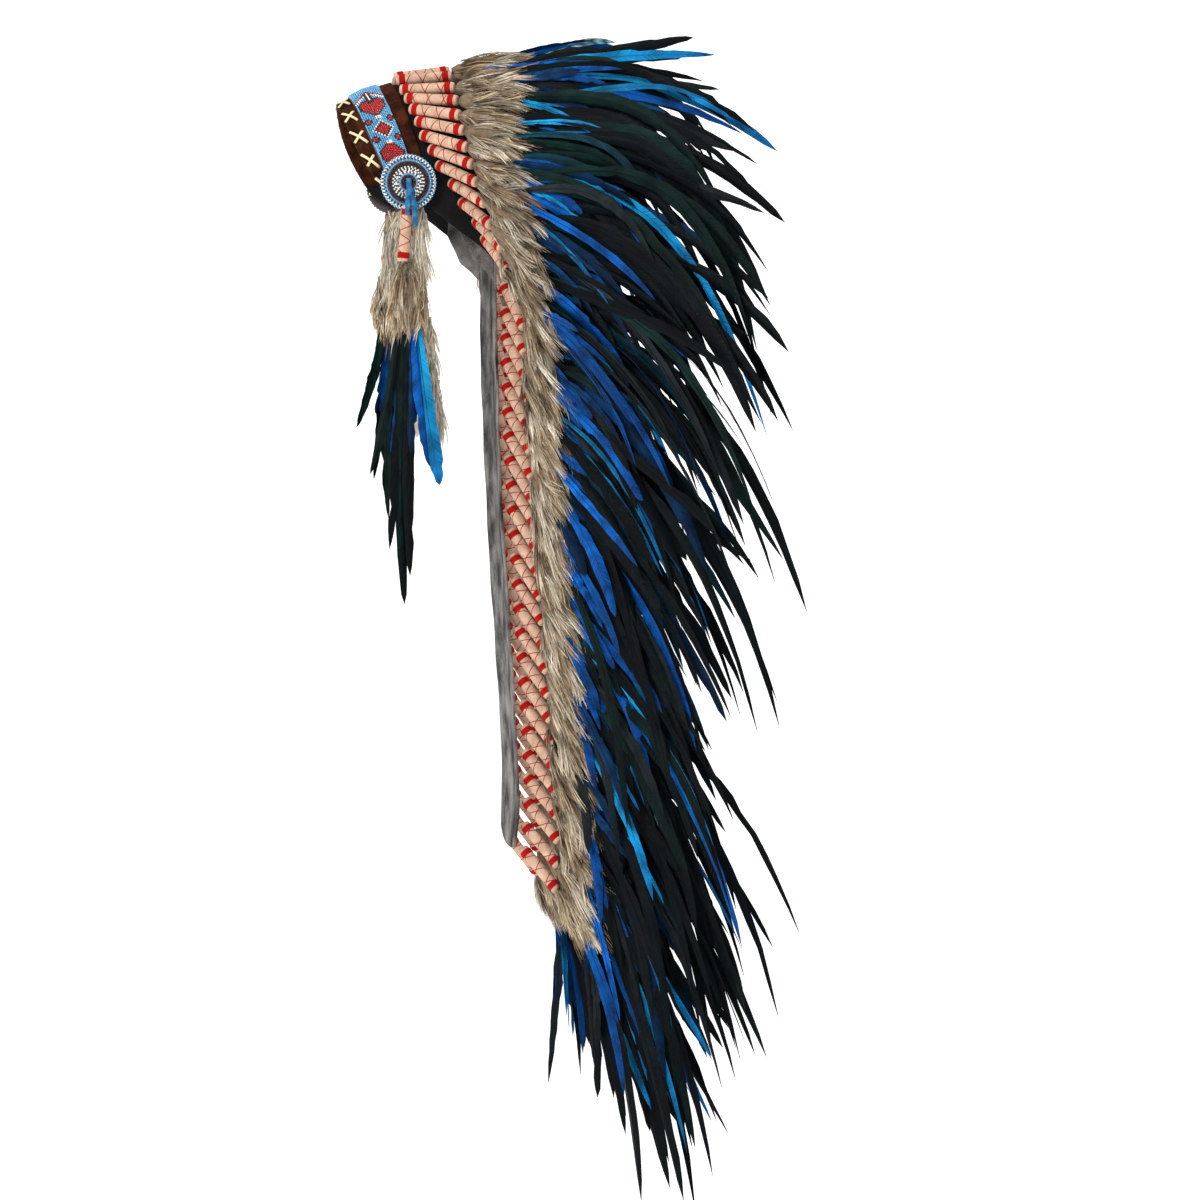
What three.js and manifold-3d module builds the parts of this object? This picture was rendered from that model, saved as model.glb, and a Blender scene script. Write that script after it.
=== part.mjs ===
// A feathered headdress in millimetres.  Z is up, the wearer's face looks along -Y and the wearer's left is +X.
// The origin is the highest point inside the cap, where the crown of the head sits.
import * as THREE from 'three';
import { mergeVertices } from 'three/addons/utils/BufferGeometryUtils.js';
import Module from 'manifold-3d';

const wasm = await Module();
wasm.setup();

const headdress = new THREE.Group();
const gap = 0.35; // clearance between pieces that touch
const layerGap = 0.6; // clearance between curved layers, whose facets differ a little
const degrees = Math.PI / 180;

// Driving dimensions of the head form and the cloth parts
const capWall = 2.5;
const bandWall = 2;
const beadWall = 1.8;
const archStep = 10; // degrees of an arch between two lines of facets
const bandTurn = 80; // half the arc of the brow band and its beadwork, in degrees of the cap's arch
const beadEdge = 0.25; // margin of bare band below and above the beadwork, as a share of the band

// One row for each arch of the cap, from the brow to the nape.  An arch springs from the two rims at
// side x, y, z and its crown is at crown y, z.  Bow is how far it swells forward halfway up, or back where it
// is less than 0, and fullness is the exponent of its superellipse.
const capArches = [
  { crownY: -90, crownZ: -23, sideX: 73, sideY: -49, sideZ: -111, bow: 6, fullness: 1.8 },
  { crownY: -64, crownZ: -9, sideX: 75.5, sideY: -26, sideZ: -119, bow: -3, fullness: 1.9 },
  { crownY: -36, crownZ: -0.5, sideX: 77, sideY: -3, sideZ: -126, bow: -4, fullness: 2 },
  { crownY: 0, crownZ: capWall, sideX: 76, sideY: 11, sideZ: -137, bow: -1.5, fullness: 2.1 },
  { crownY: 36, crownZ: -6, sideX: 74, sideY: 26, sideZ: -149, bow: 0, fullness: 2.15 },
  { crownY: 66, crownZ: -28, sideX: 72, sideY: 37, sideZ: -156, bow: 0, fullness: 2.2 },
  { crownY: 87, crownZ: -62, sideX: 71, sideY: 46, sideZ: -163, bow: 0, fullness: 2.2 },
  { crownY: 92, crownZ: -102, sideX: 70, sideY: 53, sideZ: -169, bow: 0, fullness: 2.2 },
  { crownY: 83, crownZ: -142, sideX: 69, sideY: 58, sideZ: -175, bow: 0, fullness: 2.1 },
  { crownY: 68, crownZ: -178, sideX: 68, sideY: 62, sideZ: -179, bow: 0, fullness: 2 },
];
const bandArches = 2; // the brow band covers the arches from 0 to this one
const napeArch = capArches.length - 1;

// Trailer strip: the middle line of its outer face, from the nape to the lower end
const stripHalfWidth = 68;
const stripWall = 3;
const stripBow = 5; // how far its edges lie forward of its middle at the top
const stripCorner = 16; // length cut off each lower corner
const stripLine = [
  { y: 68, z: -180 },
  { y: 68.5, z: -260 },
  { y: 70, z: -340 },
  { y: 74, z: -440 },
  { y: 81, z: -560 },
  { y: 87, z: -670 },
  { y: 88, z: -720 },
  { y: 85, z: -772 },
];

// Feather units.  Unit 0 stands at the middle of the crown, 13 follow on each side of the cap and 24 more
// down each edge of the trailer strip.
const capUnits = 13;
const stripUnits = 24;
const lastUnit = capUnits + stripUnits;
const stripPitch = 24.7;
const firstStripZ = -207;
const rowX = 63; // half the distance between the two rows on the strip
const wrapRadius = 5.7;
const wrapSwell = 6.3; // where a band is wound round it
const wrapLength = 57;
const quillAhead = 7;
const tuftLength = 78;
const notchShare = 0.62; // how far along a tuft the notch goes in which its feathers sit
const rootDepth = 7; // from the bottom of that notch to the feathers

// Where a unit's quill end lies on the cap: arch is a place between the rows above, turn is degrees from the crown
const capPlaces = [
  { unit: 0, arch: 2.3, turn: 0 },
  { unit: 2, arch: 2.27, turn: 26.5 },
  { unit: 4, arch: 2.34, turn: 42.5 },
  { unit: 6, arch: 2.46, turn: 57.5 },
  { unit: 8, arch: 2.97, turn: 71 },
  { unit: 10, arch: 4.14, turn: 81.5 },
  { unit: 12, arch: 6.5, turn: 87.5 },
  { unit: 13, arch: 8.75, turn: 84 },
];

// How a unit points: its quill's drop is degrees below the horizontal and its splay degrees out to the side,
// its plume bends to a drop and splay of its own, and reach is its whole length
const unitAims = [
  { unit: 0, drop: -7, splay: 0, plumeDrop: -6, plumeSplay: 0, reach: 360 },
  { unit: 2, drop: -2, splay: 22, plumeDrop: 3, plumeSplay: 17, reach: 395 },
  { unit: 4, drop: 9, splay: 34, plumeDrop: 14, plumeSplay: 24, reach: 400 },
  { unit: 6, drop: 18, splay: 38, plumeDrop: 22, plumeSplay: 27, reach: 410 },
  { unit: 8, drop: 28, splay: 45, plumeDrop: 28, plumeSplay: 28, reach: 415 },
  { unit: 10, drop: 44, splay: 52, plumeDrop: 34, plumeSplay: 28, reach: 415 },
  { unit: 12, drop: 60, splay: 46, plumeDrop: 40, plumeSplay: 26, reach: 405 },
  { unit: 14, drop: 68, splay: 32, plumeDrop: 46, plumeSplay: 24, reach: 395 },
  { unit: 20, drop: 62, splay: 25, plumeDrop: 52, plumeSplay: 23, reach: 385 },
  { unit: 24, drop: 59, splay: 25, plumeDrop: 55, plumeSplay: 23, reach: 392 },
  { unit: 31, drop: 55, splay: 25, plumeDrop: 58, plumeSplay: 23, reach: 375 },
  { unit: 35, drop: 52, splay: 25, plumeDrop: 61, plumeSplay: 22, reach: 380 },
  { unit: 37, drop: 51, splay: 25, plumeDrop: 68, plumeSplay: 20, reach: 380 },
  { unit: 39, drop: 74, splay: 20, plumeDrop: 82, plumeSplay: 15, reach: 375 },
];
const bendLength = 130; // past the wrap, the length over which a unit bends to its plume's direction

// Materials of the parts
const finish = (color, roughness, metalness = 0) => ({ color, roughness, metalness });
const blackFelt = finish(0x161616, 0.95);
const brownSuede = finish(0x4a2d1b, 0.9);
const blueBeads = finish(0x7ec8e8, 0.3);
const creamLace = finish(0xe8d8a8, 0.75);
const blueSuede = finish(0x2a6a9c, 0.85);
const wrapFelt = finish(0xd8b498, 0.9);
const greyFur = finish(0xa89070, 0.95);
const paleFur = finish(0xd8c8a8, 0.95);
const blueFeather = finish(0x0a4fc4, 0.5);
const greySuede = finish(0x5c5c5c, 0.95);

function addPiece(name, geometry, look) {
  const mesh = new THREE.Mesh(geometry, new THREE.MeshStandardMaterial(look));
  mesh.name = name;
  headdress.add(mesh);
}

// ---- general shape makers

const mix = (a, b, share) => a + (b - a) * share;
const at = (x, y, z) => new THREE.Vector3(x, y, z);

// A table's columns at any place between its rows, as straight lines between rows
function rowAt(table, key, place) {
  const last = table.length - 1;
  let i = 0;
  while (i < last - 1 && place > table[i + 1][key]) i += 1;
  const share = (place - table[i][key]) / (table[i + 1][key] - table[i][key]);
  const out = {};
  for (const name of Object.keys(table[i])) out[name] = mix(table[i][name], table[i + 1][name], share);
  return out;
}

// Turns a closed shell the right way out and keeps only its positions
function finishShell(points, faces) {
  let volume = 0;
  for (const [a, b, c] of faces) {
    volume += points[a].dot(points[b].clone().cross(points[c]));
  }
  const turned = volume < 0 ? faces.map(([a, b, c]) => [a, c, b]) : faces;
  const geometry = new THREE.BufferGeometry();
  geometry.setAttribute('position', new THREE.Float32BufferAttribute(points.flatMap((p) => p.toArray()), 3));
  geometry.setIndex(turned.flat());
  return geometry;
}

// Joins a row of closed outlines into one body.  Every outline has the same number of points, and flat
// holds the first and last outlines in their own plane so that an outline with a notch is capped correctly.
function loft(outlines, flatFirst, flatLast) {
  const count = outlines[0].length;
  const faces = [];
  for (let k = 0; k + 1 < outlines.length; k += 1) {
    for (let i = 0; i < count; i += 1) {
      const a = k * count + i;
      const b = k * count + ((i + 1) % count);
      faces.push([a, b, b + count], [a, b + count, a + count]);
    }
  }
  const base = (outlines.length - 1) * count;
  for (const [p, q, r] of capFaces(flatFirst, count)) faces.push([r, q, p]);
  for (const [p, q, r] of capFaces(flatLast, count)) faces.push([base + p, base + q, base + r]);
  return finishShell(outlines.flat(), faces);
}

function capFaces(flat, count) {
  if (!flat) return Array.from({ length: count - 2 }, (_, i) => [0, i + 1, i + 2]);
  const clockwise = THREE.ShapeUtils.isClockWise(flat);
  return THREE.ShapeUtils.triangulateShape(flat, []).map((f) => (clockwise ? [f[0], f[2], f[1]] : f));
}

// A wall between an outer and an inner grid of points
function wall(outer, inner) {
  const rows = outer.length;
  const columns = outer[0].length;
  const side = rows * columns;
  const faces = [];
  const quad = (a, b, c, d) => faces.push([a, b, c], [a, c, d]);
  for (let r = 0; r + 1 < rows; r += 1) {
    for (let c = 0; c + 1 < columns; c += 1) {
      const a = r * columns + c;
      quad(a, a + 1, a + columns + 1, a + columns);
      quad(side + a, side + a + columns, side + a + columns + 1, side + a + 1);
    }
  }
  for (let c = 0; c + 1 < columns; c += 1) {
    const top = (rows - 1) * columns + c;
    quad(c, side + c, side + c + 1, c + 1);
    quad(top, top + 1, side + top + 1, side + top);
  }
  for (let r = 0; r + 1 < rows; r += 1) {
    const a = r * columns;
    const b = a + columns - 1;
    quad(a, a + columns, side + a + columns, side + a);
    quad(b, side + b, side + b + columns, b + columns);
  }
  return finishShell([...outer.flat(), ...inner.flat()], faces);
}

// ---- the cap and what is sewn to its front

// A point of the cap's outer face: the arch is a superellipse between its two rims
function capPoint(arch, turn) {
  const row = rowAt(capArches.map((a, i) => ({ ...a, place: i })), 'place', arch);
  const power = 2 / row.fullness;
  const across = Math.sign(turn) * Math.abs(Math.sin(turn * degrees)) ** power;
  const rise = Math.max(0, Math.cos(turn * degrees)) ** power;
  const y = mix(row.sideY, row.crownY, rise) - row.bow * Math.sin(Math.PI * rise);
  return at(row.sideX * across, y, mix(row.sideZ, row.crownZ, rise));
}

// The outward normal there, from the two directions in which the surface runs
function capNormal(arch, turn) {
  const step = 0.4;
  const back = Math.min(arch + step / 2, napeArch);
  const front = Math.max(arch - step / 2, 0);
  const side = Math.max(-90, Math.min(90, turn));
  const along = capPoint(back, side).sub(capPoint(front, side));
  const inner = Math.max(-90, side - step);
  const outer = Math.min(90, side + step);
  const round = capPoint(arch, outer).sub(capPoint(arch, inner));
  return round.cross(along).normalize();
}

const offCap = (arch, turn, height) => capPoint(arch, turn).addScaledVector(capNormal(arch, turn), height);

// A curved plate that follows the cap at a height, between two arches and as far as a turn on each side
function capPlate(fromArch, toArch, archSteps, turn, height, thickness) {
  const turnSteps = (2 * turn) / archStep;
  const grid = (lift) => Array.from({ length: archSteps + 1 }, (_, r) => {
    const arch = mix(fromArch, toArch, r / archSteps);
    return Array.from({ length: turnSteps + 1 }, (_, c) => offCap(arch, mix(-turn, turn, c / turnSteps), lift));
  });
  return wall(grid(height + thickness), grid(height));
}

const bandHeight = layerGap;
const beadHeight = bandHeight + bandWall + layerGap;
const beadArches = [beadEdge * bandArches, (1 - beadEdge) * bandArches];
addPiece('skull_cap', capPlate(0, napeArch, napeArch, 90, -capWall, capWall), blackFelt);
addPiece('brow_band', capPlate(0, bandArches, 2, bandTurn, bandHeight, bandWall), brownSuede);
addPiece('beaded_strip', capPlate(...beadArches, 2, bandTurn, beadHeight, beadWall), blueBeads);

// ---- whipped lace on the band's lower edge

const bandDepth = 58; // from the band's lower edge to its upper edge
const laceWidth = 3.5;
const laceWall = 1.2;
const laceSag = 0.45; // room for a straight leg over the curved band
const crossPitch = 27.5; // along the edge
const crossesPerSide = 5;
const crossReach = 6.8; // half the length that a cross covers along the edge
const crossInner = 0.19 * bandArches; // the arch on which the upper ends of a cross lie
const crossLift = 0.4; // the crosses lie this much higher than the lace along the edge

const toSolid = (geometry) => {
  const merged = mergeVertices(geometry, 1e-4);
  return new wasm.Manifold(new wasm.Mesh({
    numProp: 3,
    vertProperties: new Float32Array(merged.attributes.position.array),
    triVerts: new Uint32Array(merged.index.array),
  }));
};

function fromSolid(solid) {
  const mesh = solid.getMesh();
  const geometry = new THREE.BufferGeometry();
  geometry.setAttribute('position', new THREE.Float32BufferAttribute(mesh.vertProperties, 3));
  geometry.setIndex(Array.from(mesh.triVerts));
  return geometry;
}

// A flat strap through a list of places, each with its middle, its outward normal and half its width and wall
function strap(places) {
  const outlines = places.map((p, i) => {
    const before = places[Math.max(0, i - 1)].middle;
    const after = places[Math.min(places.length - 1, i + 1)].middle;
    const along = after.clone().sub(before).normalize();
    const across = along.clone().cross(p.normal).normalize().multiplyScalar(p.halfWidth);
    const up = across.clone().cross(along).normalize().multiplyScalar(p.halfWall);
    return [
      p.middle.clone().add(across).add(up),
      p.middle.clone().add(across).sub(up),
      p.middle.clone().sub(across).sub(up),
      p.middle.clone().sub(across).add(up),
    ];
  });
  return loft(outlines);
}

// The turn at which the brow edge has run a given length from its middle
function turnAtLength(length) {
  let run = 0;
  let turn = 0;
  while (run < Math.abs(length) && turn < 90) {
    run += capPoint(0, turn).distanceTo(capPoint(0, turn + 0.25));
    turn += 0.25;
  }
  return Math.sign(length) * turn;
}

// The outline of a cross of two straps, across its own axes a and b, each leg from corner to corner
function crossOutline(reachA, reachB, half) {
  const slope = Math.atan2(reachB, reachA);
  const [cos, sin] = [Math.cos(slope), Math.sin(slope)];
  const arm = [[reachA + half * sin, reachB - half * cos], [reachA - half * sin, reachB + half * cos]];
  const quarter = [[half / sin, 0], ...arm, [0, half / cos], ...arm.map(([a, b]) => [-a, b]).reverse()];
  return [...quarter, ...quarter.map(([a, b]) => [-a, -b])];
}

function edgeLace() {
  const height = beadHeight + laceSag;
  const edgeSteps = (2 * bandTurn) / archStep;
  const edge = Array.from({ length: edgeSteps + 1 }, (_, i) => {
    const turn = mix(-bandTurn, bandTurn, i / edgeSteps);
    return {
      middle: offCap(0, turn, height + laceWall / 2),
      normal: capNormal(0, turn),
      halfWidth: laceWidth / 3,
      halfWall: laceWall / 2,
    };
  });
  let solid = toSolid(strap(edge));
  const reachB = crossInner / 2;
  const arcScale = bandDepth / bandArches; // length across the band for each arch
  for (let k = 0; k < crossesPerSide; k += 1) {
    for (const side of [-1, 1]) {
      const middle = side * crossPitch * (k + 0.5);
      const flat = crossOutline(crossReach, reachB * arcScale, laceWidth / 2);
      const layer = (lift) => flat.map(([a, b]) => (
        offCap(reachB + b / arcScale, turnAtLength(middle + a), height + lift)));
      const plane = flat.map(([a, b]) => new THREE.Vector2(a, b));
      const cross = loft([layer(crossLift), layer(crossLift + laceWall)], plane, plane);
      solid = solid.add(toSolid(cross));
    }
  }
  return fromSolid(solid);
}

addPiece('edge_lace', edgeLace(), creamLace);

// ---- rosettes, their thongs and the drops that hang from them

const rosette = { x: 82.4, y: -26.5, z: -101, radius: 27.5, wall: 2.6, crown: 1, sides: 24 };

function rosetteShape() {
  const { radius, wall, crown } = rosette;
  const profile = [[0, 0], [radius, 0], [radius, wall * 0.6], [radius * 0.8, wall], [0, wall + crown]];
  const disc = new THREE.LatheGeometry(profile.map(([r, h]) => new THREE.Vector2(r, h)), rosette.sides);
  disc.rotateZ(-90 * degrees);
  disc.translate(rosette.x, rosette.y, rosette.z);
  disc.deleteAttribute('normal');
  disc.deleteAttribute('uv');
  return mergeVertices(disc, 1e-4);
}

// The thong comes out at the rosette's middle, is knotted below it and ends in two flat tails.
// Each place: y and z from the rosette's middle, out from its face, half width and half wall.
const thongFace = rosette.x + rosette.wall + rosette.crown + gap;
const longTail = [
  { y: 0, z: 4, out: 1.4, halfWidth: 2.6, halfWall: 1.2 },
  { y: 0.5, z: -4, out: 2.2, halfWidth: 3, halfWall: 1.4 },
  { y: 1.5, z: -9, out: 4, halfWidth: 5, halfWall: 3.4 },
  { y: 2.5, z: -14, out: 7, halfWidth: 3.4, halfWall: 1.6 },
  { y: 4.5, z: -21, out: 12.6, halfWidth: 3, halfWall: 0.9 },
  { y: 6, z: -44, out: 14.2, halfWidth: 2.8, halfWall: 0.8 },
];
const shortTail = [
  { y: 1.5, z: -8, out: 4.4, halfWidth: 4, halfWall: 2.6 },
  { y: -1, z: -13, out: 8, halfWidth: 3, halfWall: 1.2 },
  { y: -2, z: -20, out: 13.4, halfWidth: 3, halfWall: 1 },
  { y: -2.5, z: -33, out: 14.4, halfWidth: 2.6, halfWall: 0.8 },
];

function thongShape() {
  const places = (tail) => tail.map((p) => ({
    middle: at(thongFace + p.out, rosette.y + p.y, rosette.z + p.z),
    normal: at(1, 0, 0),
    halfWidth: p.halfWidth,
    halfWall: p.halfWall,
  }));
  return fromSolid(toSolid(strap(places(longTail))).add(toSolid(strap(places(shortTail)))));
}

// A hanging form made of lobed rings.  Each place: x, y, z, half width along y, half depth along x
function hangingForm(places, sides, lobes, lobeDepth) {
  return loft(places.map((p) => Array.from({ length: sides }, (_, i) => {
    const angle = (i / sides) * 2 * Math.PI;
    const lobe = 1 - (lobeDepth * (1 + Math.cos(angle * lobes + p.z))) / 2;
    return at(p.x + p.halfX * lobe * Math.cos(angle), p.y + p.halfY * lobe * Math.sin(angle), p.z);
  })));
}

const dropX = 91.7; // the quill drop hangs over the rosette's lower edge, outside the fur strip
const tuftX = 96;
const furX = 81.4;
const sideWrap = { topY: -27.5, topZ: -124, bottomY: -33, bottomZ: -180 };
const sideTuft = [
  { x: dropX, y: -32, z: -181, halfY: 8, halfX: 5.5 },
  { x: tuftX, y: -28, z: -198, halfY: 22, halfX: 9.6 },
  { x: tuftX, y: -25, z: -228, halfY: 28, halfX: 10.4 },
  { x: tuftX, y: -24, z: -256, halfY: 20, halfX: 8 },
  { x: tuftX, y: -24, z: -270, halfY: 10, halfX: 4 },
];
const furDrop = [
  { x: furX, y: -22, z: -130, halfY: 17, halfX: 3 },
  { x: furX, y: -23, z: -180, halfY: 18, halfX: 3.5 },
  { x: furX, y: -20, z: -220, halfY: 18, halfX: 3.5 },
  { x: furX, y: -15, z: -260, halfY: 17, halfX: 3.5 },
  { x: furX, y: -5, z: -312, halfY: 13, halfX: 3.2 },
  { x: furX, y: 5, z: -366, halfY: 5, halfX: 1.8 },
];

// Blades of the drop, side by side from front to back: how low each tip and the valley behind it reach
const sideBlades = [
  { y: -50, tipZ: -300, tipY: -54 },
  { y: -41, tipZ: -470, tipY: -44 },
  { y: -34, tipZ: -350, tipY: -36 },
  { y: -29, tipZ: -520, tipY: -33 },
  { y: -22, tipZ: -350, tipY: -24 },
  { y: -15, tipZ: -404, tipY: -8 },
  { y: -6, tipZ: -300, tipY: 0 },
];
const bladesTop = -270.5;
const farDropShare = 0.7; // the right-hand drop carries shorter feathers

// The blades are one comb: under each outline lie four depths from the root to the tip
function sideBladeComb(lengthShare) {
  const outlines = sideBlades.map(({ y, tipZ, tipY }) => {
    const rootY = mix(y, -26, 0.5);
    const endZ = mix(bladesTop, tipZ, lengthShare);
    const halves = [2, 2.4, 1.6, 0.5];
    const down = halves.map((half, i) => {
      const share = i / (halves.length - 1);
      const sway = Math.sin(share * Math.PI) * 2;
      return { y: mix(rootY, tipY, share), z: mix(bladesTop, endZ, share), x: tuftX + sway, half };
    });
    const front = down.map((p) => at(p.x - p.half, p.y, p.z));
    const back = down.map((p) => at(p.x + p.half, p.y, p.z)).reverse();
    return [...front, ...back];
  });
  return loft(outlines);
}

// A quill wrap between two points, with the two swellings where a band is wound round it
const wrapRings = [
  { share: 0, radius: wrapRadius - 0.4 },
  { share: 0.12, radius: wrapSwell },
  { share: 0.24, radius: wrapRadius },
  { share: 0.76, radius: wrapRadius },
  { share: 0.88, radius: wrapSwell },
  { share: 1, radius: wrapRadius - 0.4 },
];

function wrapShape(from, to, outward, sides = 6) {
  const along = to.clone().sub(from).normalize();
  const across = along.clone().cross(outward).normalize();
  const up = across.clone().cross(along).normalize();
  return loft(wrapRings.map(({ share, radius }) => Array.from({ length: sides }, (_, i) => {
    const angle = ((i + 0.5) / sides) * 2 * Math.PI;
    return from.clone().lerp(to, share)
      .addScaledVector(across, radius * Math.cos(angle))
      .addScaledVector(up, radius * Math.sin(angle));
  })));
}

const mirrored = (geometry, side) => {
  if (side > 0) return geometry;
  const copy = geometry.clone();
  const places = copy.attributes.position;
  for (let i = 0; i < places.count; i += 1) places.setX(i, -places.getX(i));
  const index = copy.index.array;
  for (let i = 0; i < index.length; i += 3) [index[i], index[i + 1]] = [index[i + 1], index[i]];
  return copy;
};
const bothSides = [['left', 1], ['right', -1]];

const sideWrapTop = at(dropX, sideWrap.topY, sideWrap.topZ);
const sideWrapBottom = at(dropX, sideWrap.bottomY, sideWrap.bottomZ);
for (const [word, side] of bothSides) {
  addPiece(`rosette_${word}`, mirrored(rosetteShape(), side), blueBeads);
  addPiece(`rosette_thong_${word}`, mirrored(thongShape(), side), blueSuede);
  addPiece(`side_wrap_${word}`, mirrored(wrapShape(sideWrapTop, sideWrapBottom, at(1, 0, 0), 8), side), wrapFelt);
  addPiece(`side_tuft_${word}`, mirrored(hangingForm(sideTuft, 10, 5, 0.22), side), greyFur);
  const lengthShare = side > 0 ? 1 : farDropShare;
  addPiece(`side_feathers_${word}`, mirrored(sideBladeComb(lengthShare), side), blueFeather);
  addPiece(`fur_drop_${word}`, mirrored(hangingForm(furDrop, 10, 5, 0.18), side), paleFur);
}

// ---- trailer strip

const stripSpline = new THREE.CatmullRomCurve3(stripLine.map((p) => at(0, p.y, p.z)));
const stripTopZ = stripLine[0].z;
const stripEndZ = stripLine[stripLine.length - 1].z;
const stripRows = 11;
const stripColumns = 5;

// The strip's outer face at a height, bowed forward at its edges like the nape, less so lower down
function stripFace(x, z) {
  const share = (stripTopZ - z) / (stripTopZ - stripEndZ);
  const y = stripSpline.getPoint(findShare(z)).y;
  return at(x, y - stripBow * (1 - 0.6 * share) * (x / stripHalfWidth) ** 2, z);
}

function findShare(z) {
  let low = 0;
  let high = 1;
  for (let i = 0; i < 24; i += 1) {
    const middle = (low + high) / 2;
    if (stripSpline.getPoint(middle).z > z) low = middle;
    else high = middle;
  }
  return low;
}

function stripShape() {
  const grid = (depth) => Array.from({ length: stripRows + 1 }, (_, r) => (
    Array.from({ length: stripColumns + 1 }, (_, c) => {
      const across = mix(-1, 1, c / stripColumns);
      const end = stripEndZ + stripCorner * Math.abs(across) ** 3;
      const z = mix(stripTopZ - 3, end, r / stripRows);
      return stripFace(across * stripHalfWidth, z).add(at(0, depth, 0));
    })));
  return wall(grid(0), grid(-stripWall));
}

addPiece('trailer_strip', stripShape(), greySuede);

// ---- feather units

// Where a unit is sewn down and the outward normal there; units between the last one on the cap and the
// first on the strip lie midway
function sewnPlace(unit) {
  const height = wrapSwell + 2 * gap;
  if (unit <= capUnits) {
    const place = rowAt(capPlaces, 'unit', unit);
    return { point: offCap(place.arch, place.turn, height), normal: capNormal(place.arch, place.turn) };
  }
  const firstOnStrip = capUnits + 1;
  if (unit >= firstOnStrip) {
    const z = firstStripZ - Math.min(unit - firstOnStrip, stripUnits - 1) * stripPitch;
    return { point: stripFace(rowX, z).add(at(0, height, 0)), normal: at(0, 1, 0) };
  }
  const above = sewnPlace(capUnits);
  const below = sewnPlace(firstOnStrip);
  const share = unit - capUnits;
  return { point: above.point.lerp(below.point, share), normal: above.normal.lerp(below.normal, share).normalize() };
}

// The middle of a unit's quill end, a little ahead of the place where it is sewn and at the same height
const quillCache = new Map();
function quillEnd(unit) {
  if (!quillCache.has(unit)) {
    const { point, normal } = sewnPlace(Math.abs(unit));
    const aim = quillAim(Math.abs(unit));
    const flatAim = aim.clone().addScaledVector(normal, -aim.dot(normal)).normalize();
    const end = point.addScaledVector(flatAim, -quillAhead);
    quillCache.set(unit, unit < 0 ? end.multiply(at(-1, 1, 1)) : end);
  }
  return quillCache.get(unit).clone();
}

function aimOf(drop, splay) {
  const level = Math.cos(splay * degrees);
  return at(Math.sin(splay * degrees), level * Math.cos(drop * degrees), -level * Math.sin(drop * degrees));
}

function quillAim(unit) {
  const { drop, splay } = rowAt(unitAims, 'unit', Math.abs(unit));
  return aimOf(drop, Math.sign(unit) * splay);
}

function plumeAim(unit) {
  const { plumeDrop, plumeSplay } = rowAt(unitAims, 'unit', Math.abs(unit));
  return aimOf(plumeDrop, Math.sign(unit) * plumeSplay);
}

// The way the row of quills runs at a unit
function rowWay(unit) {
  const step = 0.5;
  if (Math.abs(unit) > lastUnit - step) return at(0, 0, -Math.sign(unit));
  return quillEnd(unit + step).sub(quillEnd(unit - step)).normalize();
}

// Outward from the row: across both the row and the quill
const quillUp = (unit) => rowWay(unit).cross(quillAim(unit)).normalize();

// A point of a unit: run is the length along it from the quill end, and past the wrap it turns evenly from
// the quill's direction to the plume's
function unitPoint(unit, run, height) {
  const past = Math.max(0, run - wrapLength);
  const bent = Math.min(past, bendLength);
  const turned = bent ** 2 / (2 * bendLength) + past - bent;
  const aim = quillAim(unit);
  return quillEnd(unit)
    .addScaledVector(aim, run)
    .addScaledVector(plumeAim(unit).sub(aim), turned)
    .addScaledVector(quillUp(unit), height);
}

const crownPieces = 8; // on each side these are pieces of their own
for (let unit = -crownPieces; unit <= crownPieces; unit += 1) {
  const word = unit === 0 ? 'middle' : `${unit > 0 ? 'left' : 'right'}_${Math.abs(unit)}`;
  const wrap = wrapShape(quillEnd(unit), unitPoint(unit, wrapLength, 0), quillUp(unit));
  addPiece(`crown_wrap_${word}`, wrap, wrapFelt);
}

// Wraps strung together: a short flat tie joins the facing sides of two six-sided wraps at their quill ends
const tieLength = 2.5;
function strungWraps(units) {
  const points = [];
  const faces = [];
  const runs = [0, tieLength, wrapLength];
  units.forEach((unit, k) => {
    const start = points.length;
    const aim = quillAim(unit);
    const up = quillUp(unit);
    const across = up.clone().cross(aim).normalize();
    for (const run of runs) {
      for (let i = 0; i < 6; i += 1) {
        const angle = (i - 0.5) * 60 * degrees;
        points.push(quillEnd(unit).addScaledVector(aim, run)
          .addScaledVector(across, wrapRadius * Math.cos(angle))
          .addScaledVector(up, wrapRadius * Math.sin(angle)));
      }
    }
    for (let ring = 0; ring < 2; ring += 1) {
      for (let i = 0; i < 6; i += 1) {
        const tied = ring === 0 && ((i === 0 && k > 0) || (i === 3 && k + 1 < units.length));
        if (tied) continue;
        const a = start + ring * 6 + i;
        const b = start + ring * 6 + ((i + 1) % 6);
        faces.push([a, b, b + 6], [a, b + 6, a + 6]);
      }
    }
    for (let i = 1; i < 5; i += 1) {
      faces.push([start, start + i + 1, start + i], [start + 12, start + 12 + i, start + 13 + i]);
    }
    if (k === 0) return;
    // the tie runs from face 3 of the wrap before to face 0 of this one
    const last = start - 18;
    const before = [last + 3, last + 4, last + 10, last + 9];
    const here = [start + 1, start, start + 6, start + 7];
    for (let i = 0; i < 4; i += 1) {
      const j = (i + 1) % 4;
      faces.push([before[i], before[j], here[j]], [before[i], here[j], here[i]]);
    }
  });
  return finishShell(points, faces);
}

const unitRange = (from, to) => Array.from({ length: to - from + 1 }, (_, i) => from + i);

// The row runs slantwise to the quills, so its furs start past the far edge of each wrap's end
function furStart(unit) {
  const along = Math.abs(rowWay(unit).dot(quillAim(unit)));
  return wrapLength + 2 * gap + (wrapRadius * along) / Math.sqrt(1 - along ** 2);
}

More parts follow.
